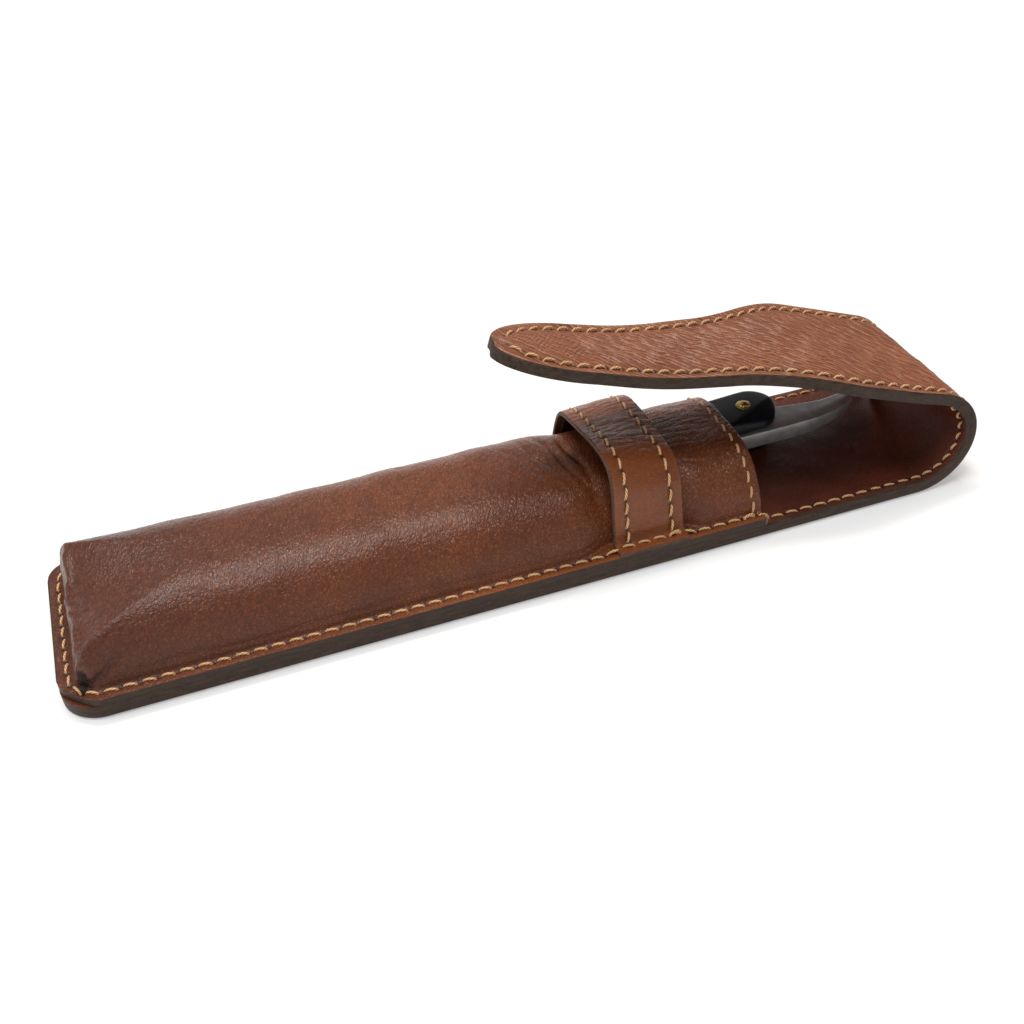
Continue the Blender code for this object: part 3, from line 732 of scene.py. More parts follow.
def strap_layer(name, start, end, outer):
    """A stretch of the strap's outer leather, or else of its lining, with its holes, grain, rubbed
    edges, painted shade in its holes and the ridges' valleys, and a painted highlight on the crests.

    Each ring goes round one cross-section: outer face, far edge, inner face, near edge.
    """
    fine = outer and start > BEND_START
    along = strap_stations(start, end, 0.19 if fine else 0.40)
    near, far = near_edge(along)[:, None], far_edge(along)[:, None]
    width = far - near
    scale = np.minimum(width / 4.0, 1.0)
    to_end = np.clip(np.minimum(along, STRAP_END - along) / END_ROUND, 0, 1)
    ends = END_ROUND * (1 - np.sqrt(1 - (1 - to_end) ** 2))[:, None]
    if outer:
        low, high = ends, OUTER_HIGH - 0.2 * ends
        round_out, round_in = EDGE_ROUND * scale, 0.02 * scale
        materials = (STRAP_LEATHER, PAINT, FLESH)
    else:
        thinner = smooth(BEND_START, FLAP_HALF_TO - 1.0, along)[:, None]
        low, high = LINING_LOW + 0.2 * ends, mix(LINING_HIGH, FLAP_LINING_HIGH, thinner) - ends
        open_edge = smooth(MOUTH - 1.0, MOUTH + 1.0, along)[:, None]
        round_out, round_in = 0.02 * scale, mix(0.03, EDGE_ROUND, open_edge) * scale
        materials = (FLESH, PAINT, LINING_LEATHER)
    margin = np.minimum(5.0, 0.42 * width)
    part = np.linspace(0, 1, 14)[None, :]
    middle = np.linspace(0, 1, 160 if fine else 30)[None, 1:-1]

    def face(rounding):
        left = near + rounding + (margin - rounding) * part
        right = far - margin + (margin - rounding) * part
        inside = near + margin + (width - 2 * margin) * middle
        return np.concatenate([left, inside, right], 1)

    turns = np.radians([30.0, 60.0, 90.0])[None, :]
    out, up = 1 - np.sin(turns), 1 - np.cos(turns)
    back_out, back_up = out[:, ::-1], up[:, ::-1]
    outer_y, inner_y = face(round_out), face(round_in)[:, ::-1]
    ones = np.ones_like(outer_y)
    section = (
        (outer_y, low * ones),
        (far - round_out * out, low + round_out * up),
        (far - round_in * back_out, high - round_in * back_up),
        (inner_y, high * ones),
        (near + round_in * out, high - round_in * up),
        (near + round_out * back_out, low + round_out * back_up),
    )
    v, depth = (np.concatenate(parts, 1) for parts in zip(*section))
    u = np.broadcast_to(along[:, None], v.shape)
    n = outer_y.shape[1]
    inner_from, inner_to = n + 2 * turns.size, 2 * n + 2 * turns.size

    table = np.stack([u, v], -1)
    holes = HOLES[(HOLES[:, 0] > start - 2) & (HOLES[:, 0] < end + 2)]
    dark = hole_marks(table, holes, 0.42)
    groove = near_seam(table, 0.75)
    press = 0.16 * groove + 0.30 * dark
    ripple = 0.10 * lumps(u, v, 9.0, 11) + 0.04 * lumps(u, v, 3.5, 12)
    edge = np.minimum(v - near, far - v)
    shown = np.zeros(v.shape[1], bool)
    if outer:
        shown[:n] = True
        ridged = smooth(RIDGES_FROM, RIDGES_FULL, u)
        grain = ridges(u, v, 7) * ridged
        ripple = (ripple + 0.10) * smooth(4, 30, u) + 0.11 * ridged
        sunk = press + smooth(0.3, 1.3, edge) * (ripple - 0.18 * grain * (1 - 0.7 * groove))
    else:
        shown[inner_from:inner_to] = True
        grain = np.zeros(v.shape)
        sunk = lining_fold(u, v) - press + ripple * smooth(MOUTH - 3.0, MOUTH + 3.0, u)
    depth = depth + np.where(shown, sunk, 0.0)

    zones = np.ones((len(along) - 1, v.shape[1]), int)
    zones[:, : n - 1] = 0
    zones[:, inner_from : inner_to - 1] = 2
    if start == 0.0:
        zones[along[:-1] < 0.38] = 1
    if end == STRAP_END:
        zones[along[1:] > STRAP_END - 0.25] = 1
    # Rubbed edges are wear; the ridges' crests get a painted highlight, and the holes and the ridges'
    # valleys painted shade.
    rubbed = 0.55 * np.exp(-((edge / 0.9) ** 2)) * (0.55 + 0.45 * lumps(u, v, 6.0, 5))
    wear_and_painted_highlight = rubbed * (1.0 if outer else 0.25) + 0.55 * np.clip(grain, 0, 1)
    marks = {
        "flat": np.concatenate([table, depth[..., None] * 0.6], -1),
        "shade": np.where(shown, np.clip(dark * 1.1 + 0.62 * np.clip(-grain, 0, 1), 0, 1), 0.0),
        "wear_and_painted_highlight": np.where(shown, np.clip(wear_and_painted_highlight, 0, 1), 0.0),
    }
    return tube(name, place(u, v, depth), materials, zones, 1, marks)


def hinge_ends(number):
    """Points on the strap just before and just after a hinge."""
    here = hinge_along(number)
    turn = float(heading_at(here))
    pivot = place(here, 0.0, 0.0)
    step = np.array([math.cos(turn), 0.0, math.sin(turn)]) * HINGE_REACH
    return [tuple((pivot + side * step + (CLOSED_END, 0, 0)) * MM) for side in (-1, 1)]


def blend_at_hinge(made, number):
    """Bakes a piece over a hinge in place; the points beside the hinge go unused."""
    start, end = hinge_ends(number)
    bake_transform(made)


def make_strap():
    for prefix in ("outer", "lining"):
        outer = prefix == "outer"
        back = strap_layer(f"{prefix}_leather_back", 0.0, BEND_START, outer)
        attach(back, "case")
        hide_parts(prefix + "_back")
        for number in range(1, len(BODIES)):
            start = hinge_along(number) - HINGE_PITCH / 2
            name = f"{prefix}_leather_bend_{number}"
            made = strap_layer(name, start, start + HINGE_PITCH, outer)
            blend_at_hinge(made, number)
            if number < len(BODIES) - 1:
                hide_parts(f"{prefix}_bend_{number}")
        flap = strap_layer(f"{prefix}_leather_flap", BEND_END, STRAP_END, outer)
        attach(flap, "flap")
        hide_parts(prefix + "_flap")


# ---- the pouch front

def dome_half(x):
    """Half the pouch's width, which the band pinches."""
    pinch = smooth(KEEPER_FROM - 8, KEEPER_FROM, x) - smooth(KEEPER_TO, KEEPER_TO + 5, x)
    return mix(DOME_HALF, DOME_HALF_AT_BAND, pinch)


def dome_top(x):
    top = mix(DOME_TOP_AT_END, DOME_TOP_MIDDLE, smooth(10, 45, x))
    top = mix(top, DOME_TOP_AT_BAND, smooth(98, KEEPER_FROM, x))
    return mix(top, DOME_TOP_AT_MOUTH, smooth(KEEPER_TO, MOUTH, x))


def end_height(x, y):
    """Height of the sloping closed end, steep on the far side and drawn out on the near side."""
    run = np.maximum(x - DOME_START, 0.0)
    near = 5.2 * (1 - np.exp(-run / 0.8)) + 8.7 * (1 - np.exp(-run / 9.5))
    far = 8.4 * (1 - np.exp(-run / 0.7)) + 6.0 * (1 - np.exp(-run / 4.5))
    return FLANGE_TOP + mix(near, far, smooth(-5, 13, y))


def flange_near_edge(x):
    """The pouch's near edge, with its corner trimmed back from the strap's."""
    turn = np.linspace(0, math.pi / 2, 60)
    radius = NEAR_CORNER - 1.0 * np.sin(2 * turn) ** 2
    cx, cy = NEAR_CORNER, -(HALF_CASE - NEAR_CORNER)
    edge_x = cx - radius * np.sin(turn)
    edge_y = cy - radius * np.cos(turn)
    order = np.argsort(edge_x)
    inside = np.interp(x, edge_x[order], edge_y[order])
    return np.where(x < NEAR_CORNER, inside, -HALF_CASE)


def pouch_grid(x):
    """The outer surface of the pouch front as a grid, a row for each station."""
    turn = np.linspace(0, math.pi, 260)[None, :]
    side = np.where(turn < math.pi / 2, -1.0, 1.0)
    rise = np.abs(np.sin(turn)) ** (2 / DOME_ROUNDNESS)
    reach = np.abs(np.cos(turn)) ** (2 / DOME_SQUARENESS)
    half, top = dome_half(x)[:, None], dome_top(x)[:, None]
    near, far = flange_near_edge(x)[:, None], far_edge(x)[:, None]
    room = np.where(side < 0, -near, far) - DOME_TO_EDGE
    y = side * np.minimum(half, room) * (1 - DOME_LEAN * rise) * reach
    z = FLANGE_TOP + (top - FLANGE_TOP) * rise
    end = end_height(x[:, None], y)
    soft = mix(0.10, 0.75, smooth(14, 48, x))[:, None]
    lower = np.minimum(z, end)
    z = lower - soft * np.log1p(np.exp(-np.abs(z - end) / soft)) * smooth(0.0, 2.0, z - FLANGE_TOP)
    z = np.maximum(z, FLANGE_TOP)
    foot = np.linspace(0, 1, 10)[None, :]
    left = near + (y[:, :1] - near) * foot[:, :-1]
    right = y[:, -1:] + (far - y[:, -1:]) * foot[:, 1:]
    y = np.concatenate([left, y, right], 1)
    z = np.concatenate([np.full_like(left, FLANGE_TOP), z, np.full_like(right, FLANGE_TOP)], 1)
    rows = [resample(np.stack([a, b], 1), COLUMNS) for a, b in zip(y, z)]
    stations = np.broadcast_to(x[:, None, None], (len(x), COLUMNS, 1))
    grid = soften(np.concatenate([stations, rows], -1), 1, 2)
    grid[..., 2:] = soften(grid[..., 2:], 0, 2)
    return grid


def pouch_details(grid, normal):
    """How far the leather stands out from its plain shape, and its painted shade."""
    x, y, z = grid[..., 0], grid[..., 1], grid[..., 2]
    wall = smooth(FLANGE_TOP + 0.6, FLANGE_TOP + 3.0, z)
    out = 0.09 * lumps(x, y + z, 11.0, 1) * wall + 0.05 * lumps(x, y + z, 4.5, 2) * wall
    front = smooth(-0.2, -0.7, normal[..., 1])

    # A crease along the foot of the front wall
    line = FLANGE_TOP + 1.9 + 0.3 * np.sin(x / 9.0) + 0.15 * np.sin(x / 3.7 + 1.0)
    out -= 0.16 * bump(z, line, 0.5) * front * smooth(12, 24, x) * smooth(111, 104, x)

    # The pinched near corner: a hollow beside the seam, with a pleat that runs up the front wall
    pleat = bump(z, 6.3 + 0.75 * (x - 7.0), 1.1) * front * smooth(15.5, 9, x) * smooth(5.0, 6.5, x)
    out -= 0.55 * pleat
    hollow = np.exp(-(((x - 4.9) / 1.3) ** 2 + ((y + 17.1) / 1.4) ** 2)) * smooth(9.5, 6, z)
    out -= 0.9 * hollow

    # The creased upper edge of the closed end, which wanders down to the near corner
    edge_x = 5.3 + 0.9 * smooth(-3, 6, y) - 0.7 * bump(y, 0.5, 2.5) + 0.5 * bump(y, -8.0, 3.0)
    rim = bump(x, edge_x, 0.8) * wall * smooth(14.5, 9.0, y) * smooth(-16.5, -13.0, y)
    out += 0.85 * rim
    folds = 0.5 + 0.5 * np.sin(y * 1.5 + 2.0 * np.sin(z * 0.5 + y * 0.3) + x)
    out -= 0.25 * folds * smooth(-0.3, -0.8, normal[..., 0]) * wall

    # Creases where the keeper band grips the dome
    grip = 0.0
    for centre, slant, depth in GRIP_CREASES:
        run = centre - slant * (y + 3.0) + 0.4 * np.sin(y / 2.3 + centre)
        grip = grip + depth * bump(x, run, 0.75) * bump(y, -1.0, 8.5)
    out -= grip * wall

    # The coarse grain, and the creases of the mouth's crown beyond the band, calm along its stitches
    grain = creases(x, y + z, 60.0, 2.3, 1.3, 31) - 1.0
    out += 0.05 * grain * wall
    shaded = smooth(KEEPER_TO - 1.0, KEEPER_TO + 3.0, x) * smooth(13.5, 16.0, z)
    shaded = shaded * (1 - 0.8 * bump(x, MOUTH - MOUTH_SEAM_INSET, 1.1))
    out += 0.08 * (creases(x, y, 4.0, 8.0, 1.7, 42) - 1.0) * shaded
    # Painted shade in the corner's hollow, in the pleat and in the valleys of the grain.
    dark = np.clip(1.3 * hollow + 0.30 * pleat - 0.14 * grain * wall, 0, 1)
    return out, dark


def make_pouch():
    """The pouch front. Gives its outer surface and that surface's normals, as grids."""
    stations = [np.linspace(0, NEAR_CORNER, 28)[:-1], np.linspace(NEAR_CORNER, MOUTH - 0.45, 400)]
    grid = pouch_grid(np.concatenate(stations))
    normal = normals_of(grid)
    normal = normal * np.where(normal[..., 2:3].mean() < 0, -1.0, 1.0)
    out, dark = pouch_details(grid, normal)
    flat_part = smooth(FLANGE_TOP + 1.2, FLANGE_TOP + 0.3, grid[..., 2])
    hole = hole_marks(grid[..., :2], HOLES[HOLES[:, 0] < MOUTH], 0.40) * flat_part
    groove = near_seam(grid[..., :2], 0.7) * flat_part
    out -= 0.15 * groove + 0.28 * hole
    outer = grid + normal * out[..., None]

    # The lip at the mouth, and the inner side
    on_dome = smooth(FLANGE_TOP + 0.3, FLANGE_TOP + 3.0, grid[..., 2])
    inner = grid - normal * mix(FLANGE_TOP - FLANGE_LOW, DOME_THICK, on_dome)[..., None]
    lips = []
    for forward, press in ((0.22, 0.07), (0.38, 0.2), (0.45, 0.4)):
        step, pressed = np.array([forward, 0.0, 0.0]), normal[-1] * press
        lips.append((outer[-1] - pressed + step, inner[-1] + pressed * 0.6 + step))
    outer = np.concatenate([outer, [a for a, b in lips]])
    inner = np.concatenate([inner, [b for a, b in lips]])
    ring = np.concatenate([outer, inner[:, ::-1]], 1)
    rows, columns = ring.shape[:2]
    faces = quads(rows, columns).tolist()
    zones = np.zeros((rows - 1, columns), int)
    zones[:, COLUMNS - 1] = 1
    zones[:, COLUMNS: 2 * COLUMNS - 1] = 2
    zones[:, -1] = 1
    zones[-3:] = 0
    zones[0] = 1
    zones = list(zones.ravel())
    last = (rows - 1) * columns
    for j in range(COLUMNS - 1):
        faces.append([last + j, last + j + 1, last + columns - 2 - j, last + columns - 1 - j])
        faces.append([j + 1, j, columns - 1 - j, columns - 2 - j])
        zones += [1, 1]
    # Painted shade in the stitch holes too, on the outer side only.
    dark = np.concatenate([np.clip(dark + hole * 1.1, 0, 1), np.zeros((3, COLUMNS))])
    shade = np.concatenate([dark, np.zeros_like(dark)], 1)
    edge = np.minimum(outer[..., 1] + HALF_CASE, HALF_CASE - outer[..., 1])
    wear_and_painted_highlight = smooth(1.7, 0.3, edge) * mix(0.12, 0.75, smooth(50, 112, outer[..., 0]))
    wear_and_painted_highlight = np.concatenate([wear_and_painted_highlight, np.zeros_like(wear_and_painted_highlight)], 1)
    points = ring.reshape(-1, 3)
    marks = {"flat": points, "shade": shade.ravel(), "wear_and_painted_highlight": wear_and_painted_highlight.ravel()}
    materials = (POUCH_LEATHER, PAINT, FLESH)
    made = make_object("pouch_leather_front", points, faces, materials, zones, marks)
    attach(made, "case")
    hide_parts("pouch_front")
    return outer[: -len(lips)], normal


def make_facing(grid, normal):
    """The strip of lining leather inside the mouth."""
    rows = [i for i in range(len(normal)) if grid[i, 0, 0] > MOUTH - FACING_LENGTH][::3]
    columns = [j for j in range(COLUMNS) if grid[-5, j, 2] > FLANGE_TOP + 1.6]
    grid = grid[np.ix_(rows, columns)]
    normal = normal[np.ix_(rows, columns)]
    outer = grid - normal * (DOME_THICK + 0.25)
    inner = grid - normal * (DOME_THICK + 0.75)
    ring = np.concatenate([outer, inner[:, ::-1]], 1)
    marks = {"flat": ring, "shade": np.zeros(ring.shape[:2]), "wear_and_painted_highlight": np.zeros(ring.shape[:2])}
    made = tube("mouth_facing_strip", ring, (LINING_LEATHER,), marks=marks)
    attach(made, "case")
    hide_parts("mouth_facing")


# ---- the keeper band

# (y, z) round the band's arch, at its edge towards the closed end and at its edge towards the mouth
KEEPER_NEAR_FOOT = ((-21.6, KEEPER_FOOT), (-19.1, KEEPER_FOOT))
KEEPER_FAR_FOOT = ((19.1, KEEPER_FOOT), (21.6, KEEPER_FOOT))
KEEPER_LEFT = (
    *KEEPER_NEAR_FOOT, (-18.4, 6.8), (-18.1, 9.2), (-17.6, 12.8), (-16.8, 18.0), (-14.9, 22.4),
    (-10.8, 24.1), (-5.3, 23.7), (0.0, 22.7), (6.0, 21.6), (10.4, 20.6), (13.4, 18.8), (15.8, 14.0),
    (17.6, 8.5), (18.3, 6.6), *KEEPER_FAR_FOOT
)
KEEPER_RIGHT = (
    *KEEPER_NEAR_FOOT, (-18.3, 6.8), (-17.9, 8.6), (-17.0, 12.4), (-15.7, 17.0), (-12.4, 20.3),
    (-7.0, 21.2), (0.0, 21.6), (6.0, 21.4), (11.0, 20.6), (15.0, 18.2), (16.9, 13.4), (17.8, 8.3),
    (18.4, 6.5), *KEEPER_FAR_FOOT
)
KEEPER_STATIONS = np.linspace(KEEPER_FROM, KEEPER_TO, 60)


def keeper_grid():
    """The band's outer surface: a row for each point round the arch, a column for each station.

    Also its normals, and how far its wrinkles stand out.
    """
    left, right = curve_through(KEEPER_LEFT, 190), curve_through(KEEPER_RIGHT, 190)
    part = ((KEEPER_STATIONS - KEEPER_FROM) / (KEEPER_TO - KEEPER_FROM))[None, :, None]
    yz = mix(left[:, None, :], right[:, None, :], part**0.9)
    stations = np.broadcast_to(KEEPER_STATIONS[None, :, None], (*yz.shape[:2], 1))
    grid = np.concatenate([stations, yz], -1)
    x, y, z = grid[..., 0], grid[..., 1], grid[..., 2]
    free = smooth(KEEPER_FOOT + 0.3, KEEPER_FOOT + 2.5, z)
    across = np.sin(math.pi * np.clip(part[..., 0], 0, 1))
    out = (0.25 * across + 0.06 * lumps(x, y + z, 6.0, 21)) * free
    top = smooth(17.5, 20.5, z) * smooth(-15, -9, y)
    calm = 1 - 0.8 * sum(bump(x, row, 1.1) for row in KEEPER_ROWS)
    wrinkle = (creases(x, y, 4.0, 8.0, 1.7, 41) - 1.0) * calm
    return grid, -normals_of(grid), out + 0.08 * wrinkle * top + 0.03 * wrinkle * free


def band_layer(name, low, high, rounding, materials, foot):
    """One layer of the band between two depths below its outer surface, with or without its feet.

    Each ring goes round one cross-section: outer face, right edge, inner face, left edge.
    """
    inset = 0.0 if foot else KEEPER_LINING_INSET
    start, end = KEEPER_FROM + inset + rounding, KEEPER_TO - inset - rounding
    face = np.linspace(start, end, 36)
    turns = np.radians([22.0, 45.0, 68.0, 90.0])
    out, up = rounding * np.sin(turns), rounding * (1 - np.cos(turns))
    flat = np.zeros(len(face))
    # (stations, depth from the outer face, or from the inner face where the last value is 1)
    section = (
        (face, flat, 0), (end + out, up, 0), (end + out[::-1], up[::-1], 1),
        (face[::-1], flat, 1), (start - out, up, 1), (start - out[::-1], up[::-1], 0),
    )
    x, rise = (np.concatenate([part[k] for part in section]) for k in (0, 1))
    inner = np.repeat([part[2] for part in section], [len(part[0]) for part in section])

    base, base_normal, base_out = keeper_grid()
    at = (x - KEEPER_FROM) / (KEEPER_TO - KEEPER_FROM) * (len(KEEPER_STATIONS) - 1)
    i = np.clip(np.floor(at).astype(int), 0, len(KEEPER_STATIONS) - 2)
    w = (at - i)[None, :, None]
    grid = mix(base[:, i], base[:, i + 1], w)
    normal = unit(mix(base_normal[:, i], base_normal[:, i + 1], w))
    out = mix(base_out[:, i], base_out[:, i + 1], w[..., 0])
    deep = np.full(grid.shape[:2], high)
    if foot:
        grow = smooth(KEEPER_FOOT + 0.2, KEEPER_FOOT + 2.0, grid[..., 2])
        deep = deep - (KEEPER_THICK - KEEPER_FOOT_THICK) * (1 - grow)
    depth = np.where(inner == 1, deep - rise, low + rise)
    if not foot:
        keep = grid[:, 0, 2] > KEEPER_FOOT + 1.6
        grid, normal, out, depth = grid[keep], normal[keep], out[keep], depth[keep]
    n = len(face)
    shown = np.zeros(len(x))
    shown[:n] = float(foot)
    points = grid + normal * (np.where(shown > 0, out, out * 0.7) - depth)[..., None]
    u = np.broadcast_to(x, depth.shape)
    v = np.broadcast_to(np.arange(len(grid))[:, None] * 0.38, depth.shape)
    shade = wear_and_painted_highlight = np.zeros(depth.shape)
    if foot:
        rows = [band_row(x_at, grid[:, :n], normal[:, :n]) for x_at in KEEPER_ROWS]
        pressed = hole_marks(points, np.concatenate([holes for holes, ways in rows]), 0.45) * shown
        line = sum(bump(x, x_at, 0.7) for x_at in KEEPER_ROWS) * shown
        points = points - normal * (0.10 * line + 0.25 * pressed)[..., None]
        # Painted shade in the stitch holes.
        shade = np.clip(pressed * 1.05, 0, 1)
        to_side = np.minimum(u - KEEPER_FROM, KEEPER_TO - u)
        wear_and_painted_highlight = 0.35 * np.exp(-((to_side / 0.8) ** 2)) * shown
    marks = {"flat": np.stack([u, v, depth * 0.5], -1), "shade": shade, "wear_and_painted_highlight": wear_and_painted_highlight}
    zones = np.ones((len(points) - 1, len(x)), int)
    zones[:, : n - 1] = 0
    zones[:, n + 2 * len(turns) : 2 * n + 2 * len(turns) - 1] = 2
    made = tube(name, points, materials, zones, 1, marks)
    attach(made, "case")
    return made


def band_row(x_at, grid, normal):
    """Holes of a row of stitches round the band at a station, and the outward direction at each."""
    column = int(np.argmin(np.abs(grid[0, :, 0] - x_at)))
    line, out = grid[:, column], normal[:, column]
    return row_holes(line, out, HALF_CASE - SEAM_INSET)


def row_holes(line, out, seam):
    """Evenly spaced holes on a line over an arch, from the near seam to the far one."""
    inside = np.abs(line[:, 1]) < seam
    line, out = line[inside], out[inside]
    length = distances(line)
    count = int(round(length[-1] / PITCH))
    wanted = np.linspace(0.25, length[-1] - 0.25, count + 1)
    return read_at(wanted, length, line), unit(read_at(wanted, length, out))


def make_keeper():
    materials = (BAND_LEATHER, BAND_PAINT, FLESH)
    band = band_layer("keeper_band_leather", 0.0, KEEPER_THICK, 0.35, materials, True)
    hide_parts("keeper_band")
    low, materials = KEEPER_THICK + 0.03, (FLESH, PAINT, LINING_LEATHER)
    lining = band_layer("keeper_band_backing", low, low + KEEPER_LINING_THICK, 0.2, materials, False)
    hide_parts("keeper_lining")


# ---- stitches

def stitches(name, first, second, out, rise=0.20, slant=0.27, radius=THREAD_RADIUS):
    """Stitches from holes to holes: each a short twisted thread that dives into both of its holes.

    out is the way that each one faces, rise how far it stands proud and slant how far it leans.
    """
    run, out = second - first, unit(out)
    forward = run / np.linalg.norm(run, axis=1, keepdims=True)
    lean = forward * STITCH_INSET - np.cross(forward, out) * slant
    a, b = first + lean, second - lean
    along = np.linspace(0.0, 1.0, 13)
    arc = 1 - np.abs(2 * along - 1) ** 3.2
    lift = -STITCH_DIVE + (STITCH_DIVE + rise) * arc**0.8
    centre = a[:, None] + (b - a)[:, None] * along[:, None] + out[:, None] * lift[:, None]
    slope = unit(np.gradient(centre, axis=1))
    sideways = unit(np.cross(slope, out[:, None]))
    up = np.cross(sideways, slope)
    turn = np.linspace(0, math.tau, 10, endpoint=False)
    strand = 0.5 + 0.5 * np.cos(3 * (turn - along[:, None] * 7.0))
    plump = 0.80 + 0.25 * np.sin(math.pi * along)[:, None]
    swell = radius * plump * (0.90 + 0.13 * strand)
    ring = np.cos(turn)[:, None] * sideways[:, :, None] + np.sin(turn)[:, None] * up[:, :, None]
    verts = centre[:, :, None] + ring * swell[..., None]
    count, rows, columns = verts.shape[:3]
    size = rows * columns
    starts = np.arange(count) * size
    faces = (starts[:, None, None] + quads(rows, columns)).reshape(-1, 4).tolist()
    for start in starts.tolist():
        faces.append(list(range(start, start + columns)))
        faces.append(list(range(start + size - 1, start + size - 1 - columns, -1)))
    marks = {"strand": np.broadcast_to(strand, verts.shape[:3]).ravel()}
    made = make_object(name, verts.reshape(-1, 3), faces, (THREAD,), None, marks, 70.0)
    return made


def top_depth(along):
    """Depth below the strap's outer face of the topmost leather along the perimeter seam."""
    on_flange = smooth(MOUTH + 0.7, MOUTH - 0.1, along)
    on_band = smooth(KEEPER_FROM - 0.5, KEEPER_FROM + 0.1, along)
    on_band = on_band * smooth(KEEPER_TO + 0.5, KEEPER_TO - 0.1, along)
    depth = mix(LINING_HIGH, FLANGE_TOP, on_flange)
    return depth + (KEEPER_FOOT - FLANGE_TOP + 0.12) * on_band - 0.14


def seam_stretch(start, end, inside_name, outside_name, deep, rise):
    """The perimeter seam's stitches on the strap's inner and outer faces, from start to end along it.

    deep and rise are those of the outer face's stitches.
    """
    middle = (HOLES[:-1, 0] + HOLES[1:, 0]) / 2
    chosen = (middle >= start) & (middle < end)
    a, b = HOLES[:-1][chosen].T, HOLES[1:][chosen].T
    way = inward((a[0] + b[0]) / 2)
    inside = stitches(inside_name, place(*a, top_depth(a[0])), place(*b, top_depth(b[0])), way)
    outside = stitches(outside_name, place(*a, deep), place(*b, deep), -way, rise, -0.20)
    return inside, outside


def make_perimeter_seam():
    names = ("pouch_seam_stitches", "back_seam_stitches")
    inside, outside = seam_stretch(0.0, BEND_START, *names, SINK_UNDERNEATH, PROUD_UNDERNEATH)
    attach(inside, "case")
    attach(outside, "case")
    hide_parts("pouch_seam_thread")
    for number in range(1, len(BODIES)):
        start = hinge_along(number) - HINGE_PITCH / 2
        names = [f"bend_{number}_stitches_{side}" for side in ("inside", "outside")]
        deep = SINK_UNDERNEATH if number == 1 else SINK_OUTSIDE
        for made in seam_stretch(start, start + HINGE_PITCH, *names, deep, PROUD_UNDERNEATH):
            blend_at_hinge(made, number)
    names = ("flap_seam_stitches_inside", "flap_seam_stitches")
    inside, outside = seam_stretch(BEND_END, STRAP_END, *names, SINK_OUTSIDE, PROUD_ON_FLAP)
    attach(inside, "flap")
    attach(outside, "flap")
    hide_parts("flap_seam_thread")


def make_rows(grid, normal):
    """The row along the mouth and the two rows round the keeper band, with their knots."""
    row = int(np.argmin(np.abs(grid[:, 0, 0] - (MOUTH - MOUTH_SEAM_INSET))))
    line = grid[row] + 0.05 * normal[row]
    rows = {"mouth_seam_thread": row_holes(line, normal[row], HALF_CASE - SEAM_INSET)}
    base, base_normal, out = keeper_grid()
    surface = base + base_normal * (out + 0.02)[..., None]
    for side, x_at in zip(("left", "right"), KEEPER_ROWS):
        rows[f"keeper_seam_thread_{side}"] = band_row(x_at, surface, base_normal)
    for thread, (holes, ways) in rows.items():
        name = thread.replace("thread", "stitches")
        made = stitches(name, holes[:-1], holes[1:], (ways[:-1] + ways[1:]) / 2)
        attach(made, "case")
        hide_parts(thread)

    middle = (HOLES[:-1] + HOLES[1:]) / 2
    knots = []
    for x_at in KNOTS_AT:
        for side in (-1, 1):
            beside = np.flatnonzero(middle[:, 1] * side > 0)
            knots.append(beside[np.argmin(np.abs(middle[beside, 0] - x_at))])
    a, b = HOLES[:-1][knots].T, HOLES[1:][knots].T
    first, second = place(*a, top_depth(a[0]) + 0.25), place(*b, top_depth(b[0]) + 0.25)
    made = stitches("back_stitched_knots", first, second, inward(a[0]), 0.24, -0.25, 0.33)
    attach(made, "case")


# ---- the razor

# Heights of the razor's layers, its plan along the middle of the scales, and the blade's sections
TANG_LOW, TANG_HIGH = 5.85, 10.45
SCALE_LOW, SCALE_HIGH = 10.7, 14.15
SCALE_FROM, SCALE_TO = 11.5, 162.4
SCALE_END_RUN = 6.0
WEDGE_PIN = (19.5, 0.4)
PIVOT = (154.5, 6.3)
SCALE_BOW = 1.6
SCALE_TAPER = 1.3  # how much thinner the upper scale is at its wedge end
BEVEL_FROM, BEVEL_TURN, BEVEL_SLOPE = (146.9, -0.3), 62.8, 0.42  # the bevel on its pivot end
PIN_PROFILE = (  # (radius, height) from the top of the pin's dome down to its washer's edge
    (0.02, 1.02), (0.30, 1.00), (0.60, 0.90), (0.85, 0.74), (1.04, 0.54), (1.12, 0.38), (1.16, 0.30),
    (1.30, 0.27), (1.60, 0.25), (1.72, 0.20), (1.76, 0.10), (1.74, -0.10), (1.0, -0.15)
)
# Station, belly side y, back side y, half thickness at belly, middle and back
BLADE_SECTIONS = (
    (29.0, -3.0, 8.5, 0.25, 0.35, 1.5),
    (30.5, -5.2, 10.6, 0.2, 0.4, 2.0),
    (34.0, -5.9, 11.4, 0.2, 0.5, 2.2),
    (60.0, -6.3, 11.0, 0.2, 0.5, 2.2),
    (92.0, -6.6, 10.6, 0.2, 0.5, 2.2),
    (98.0, -6.0, 10.2, 0.25, 0.7, 2.2),
    (102.0, -1.6, 9.4, 1.4, 1.8, 2.3),
    (108.0, 0.4, 8.6, 1.9, 2.1, 2.3),
    (128.0, 0.9, 9.4, 2.1, 2.2, 2.3),
    (148.0, 0.2, 10.4, 2.3, 2.3, 2.3),
    (152.0, 0.1, 10.6, 2.3, 2.3, 2.3),
    (158.0, 0.1, 9.5, 2.3, 2.3, 2.3),
    (164.0, 0.2, 7.8, 2.3, 2.3, 2.3),
    (170.0, 0.6, 6.9, 2.2, 2.2, 2.2),
    (174.5, 1.5, 6.7, 2.0, 2.05, 2.0),
    (178.5, 2.9, 7.3, 1.8, 1.85, 1.8),
    (181.5, 4.4, 8.2, 1.5, 1.55, 1.5),
    (183.6, 5.9, 9.1, 1.2, 1.25, 1.2),
    (184.7, 7.1, 9.4, 0.8, 0.85, 0.8),
)


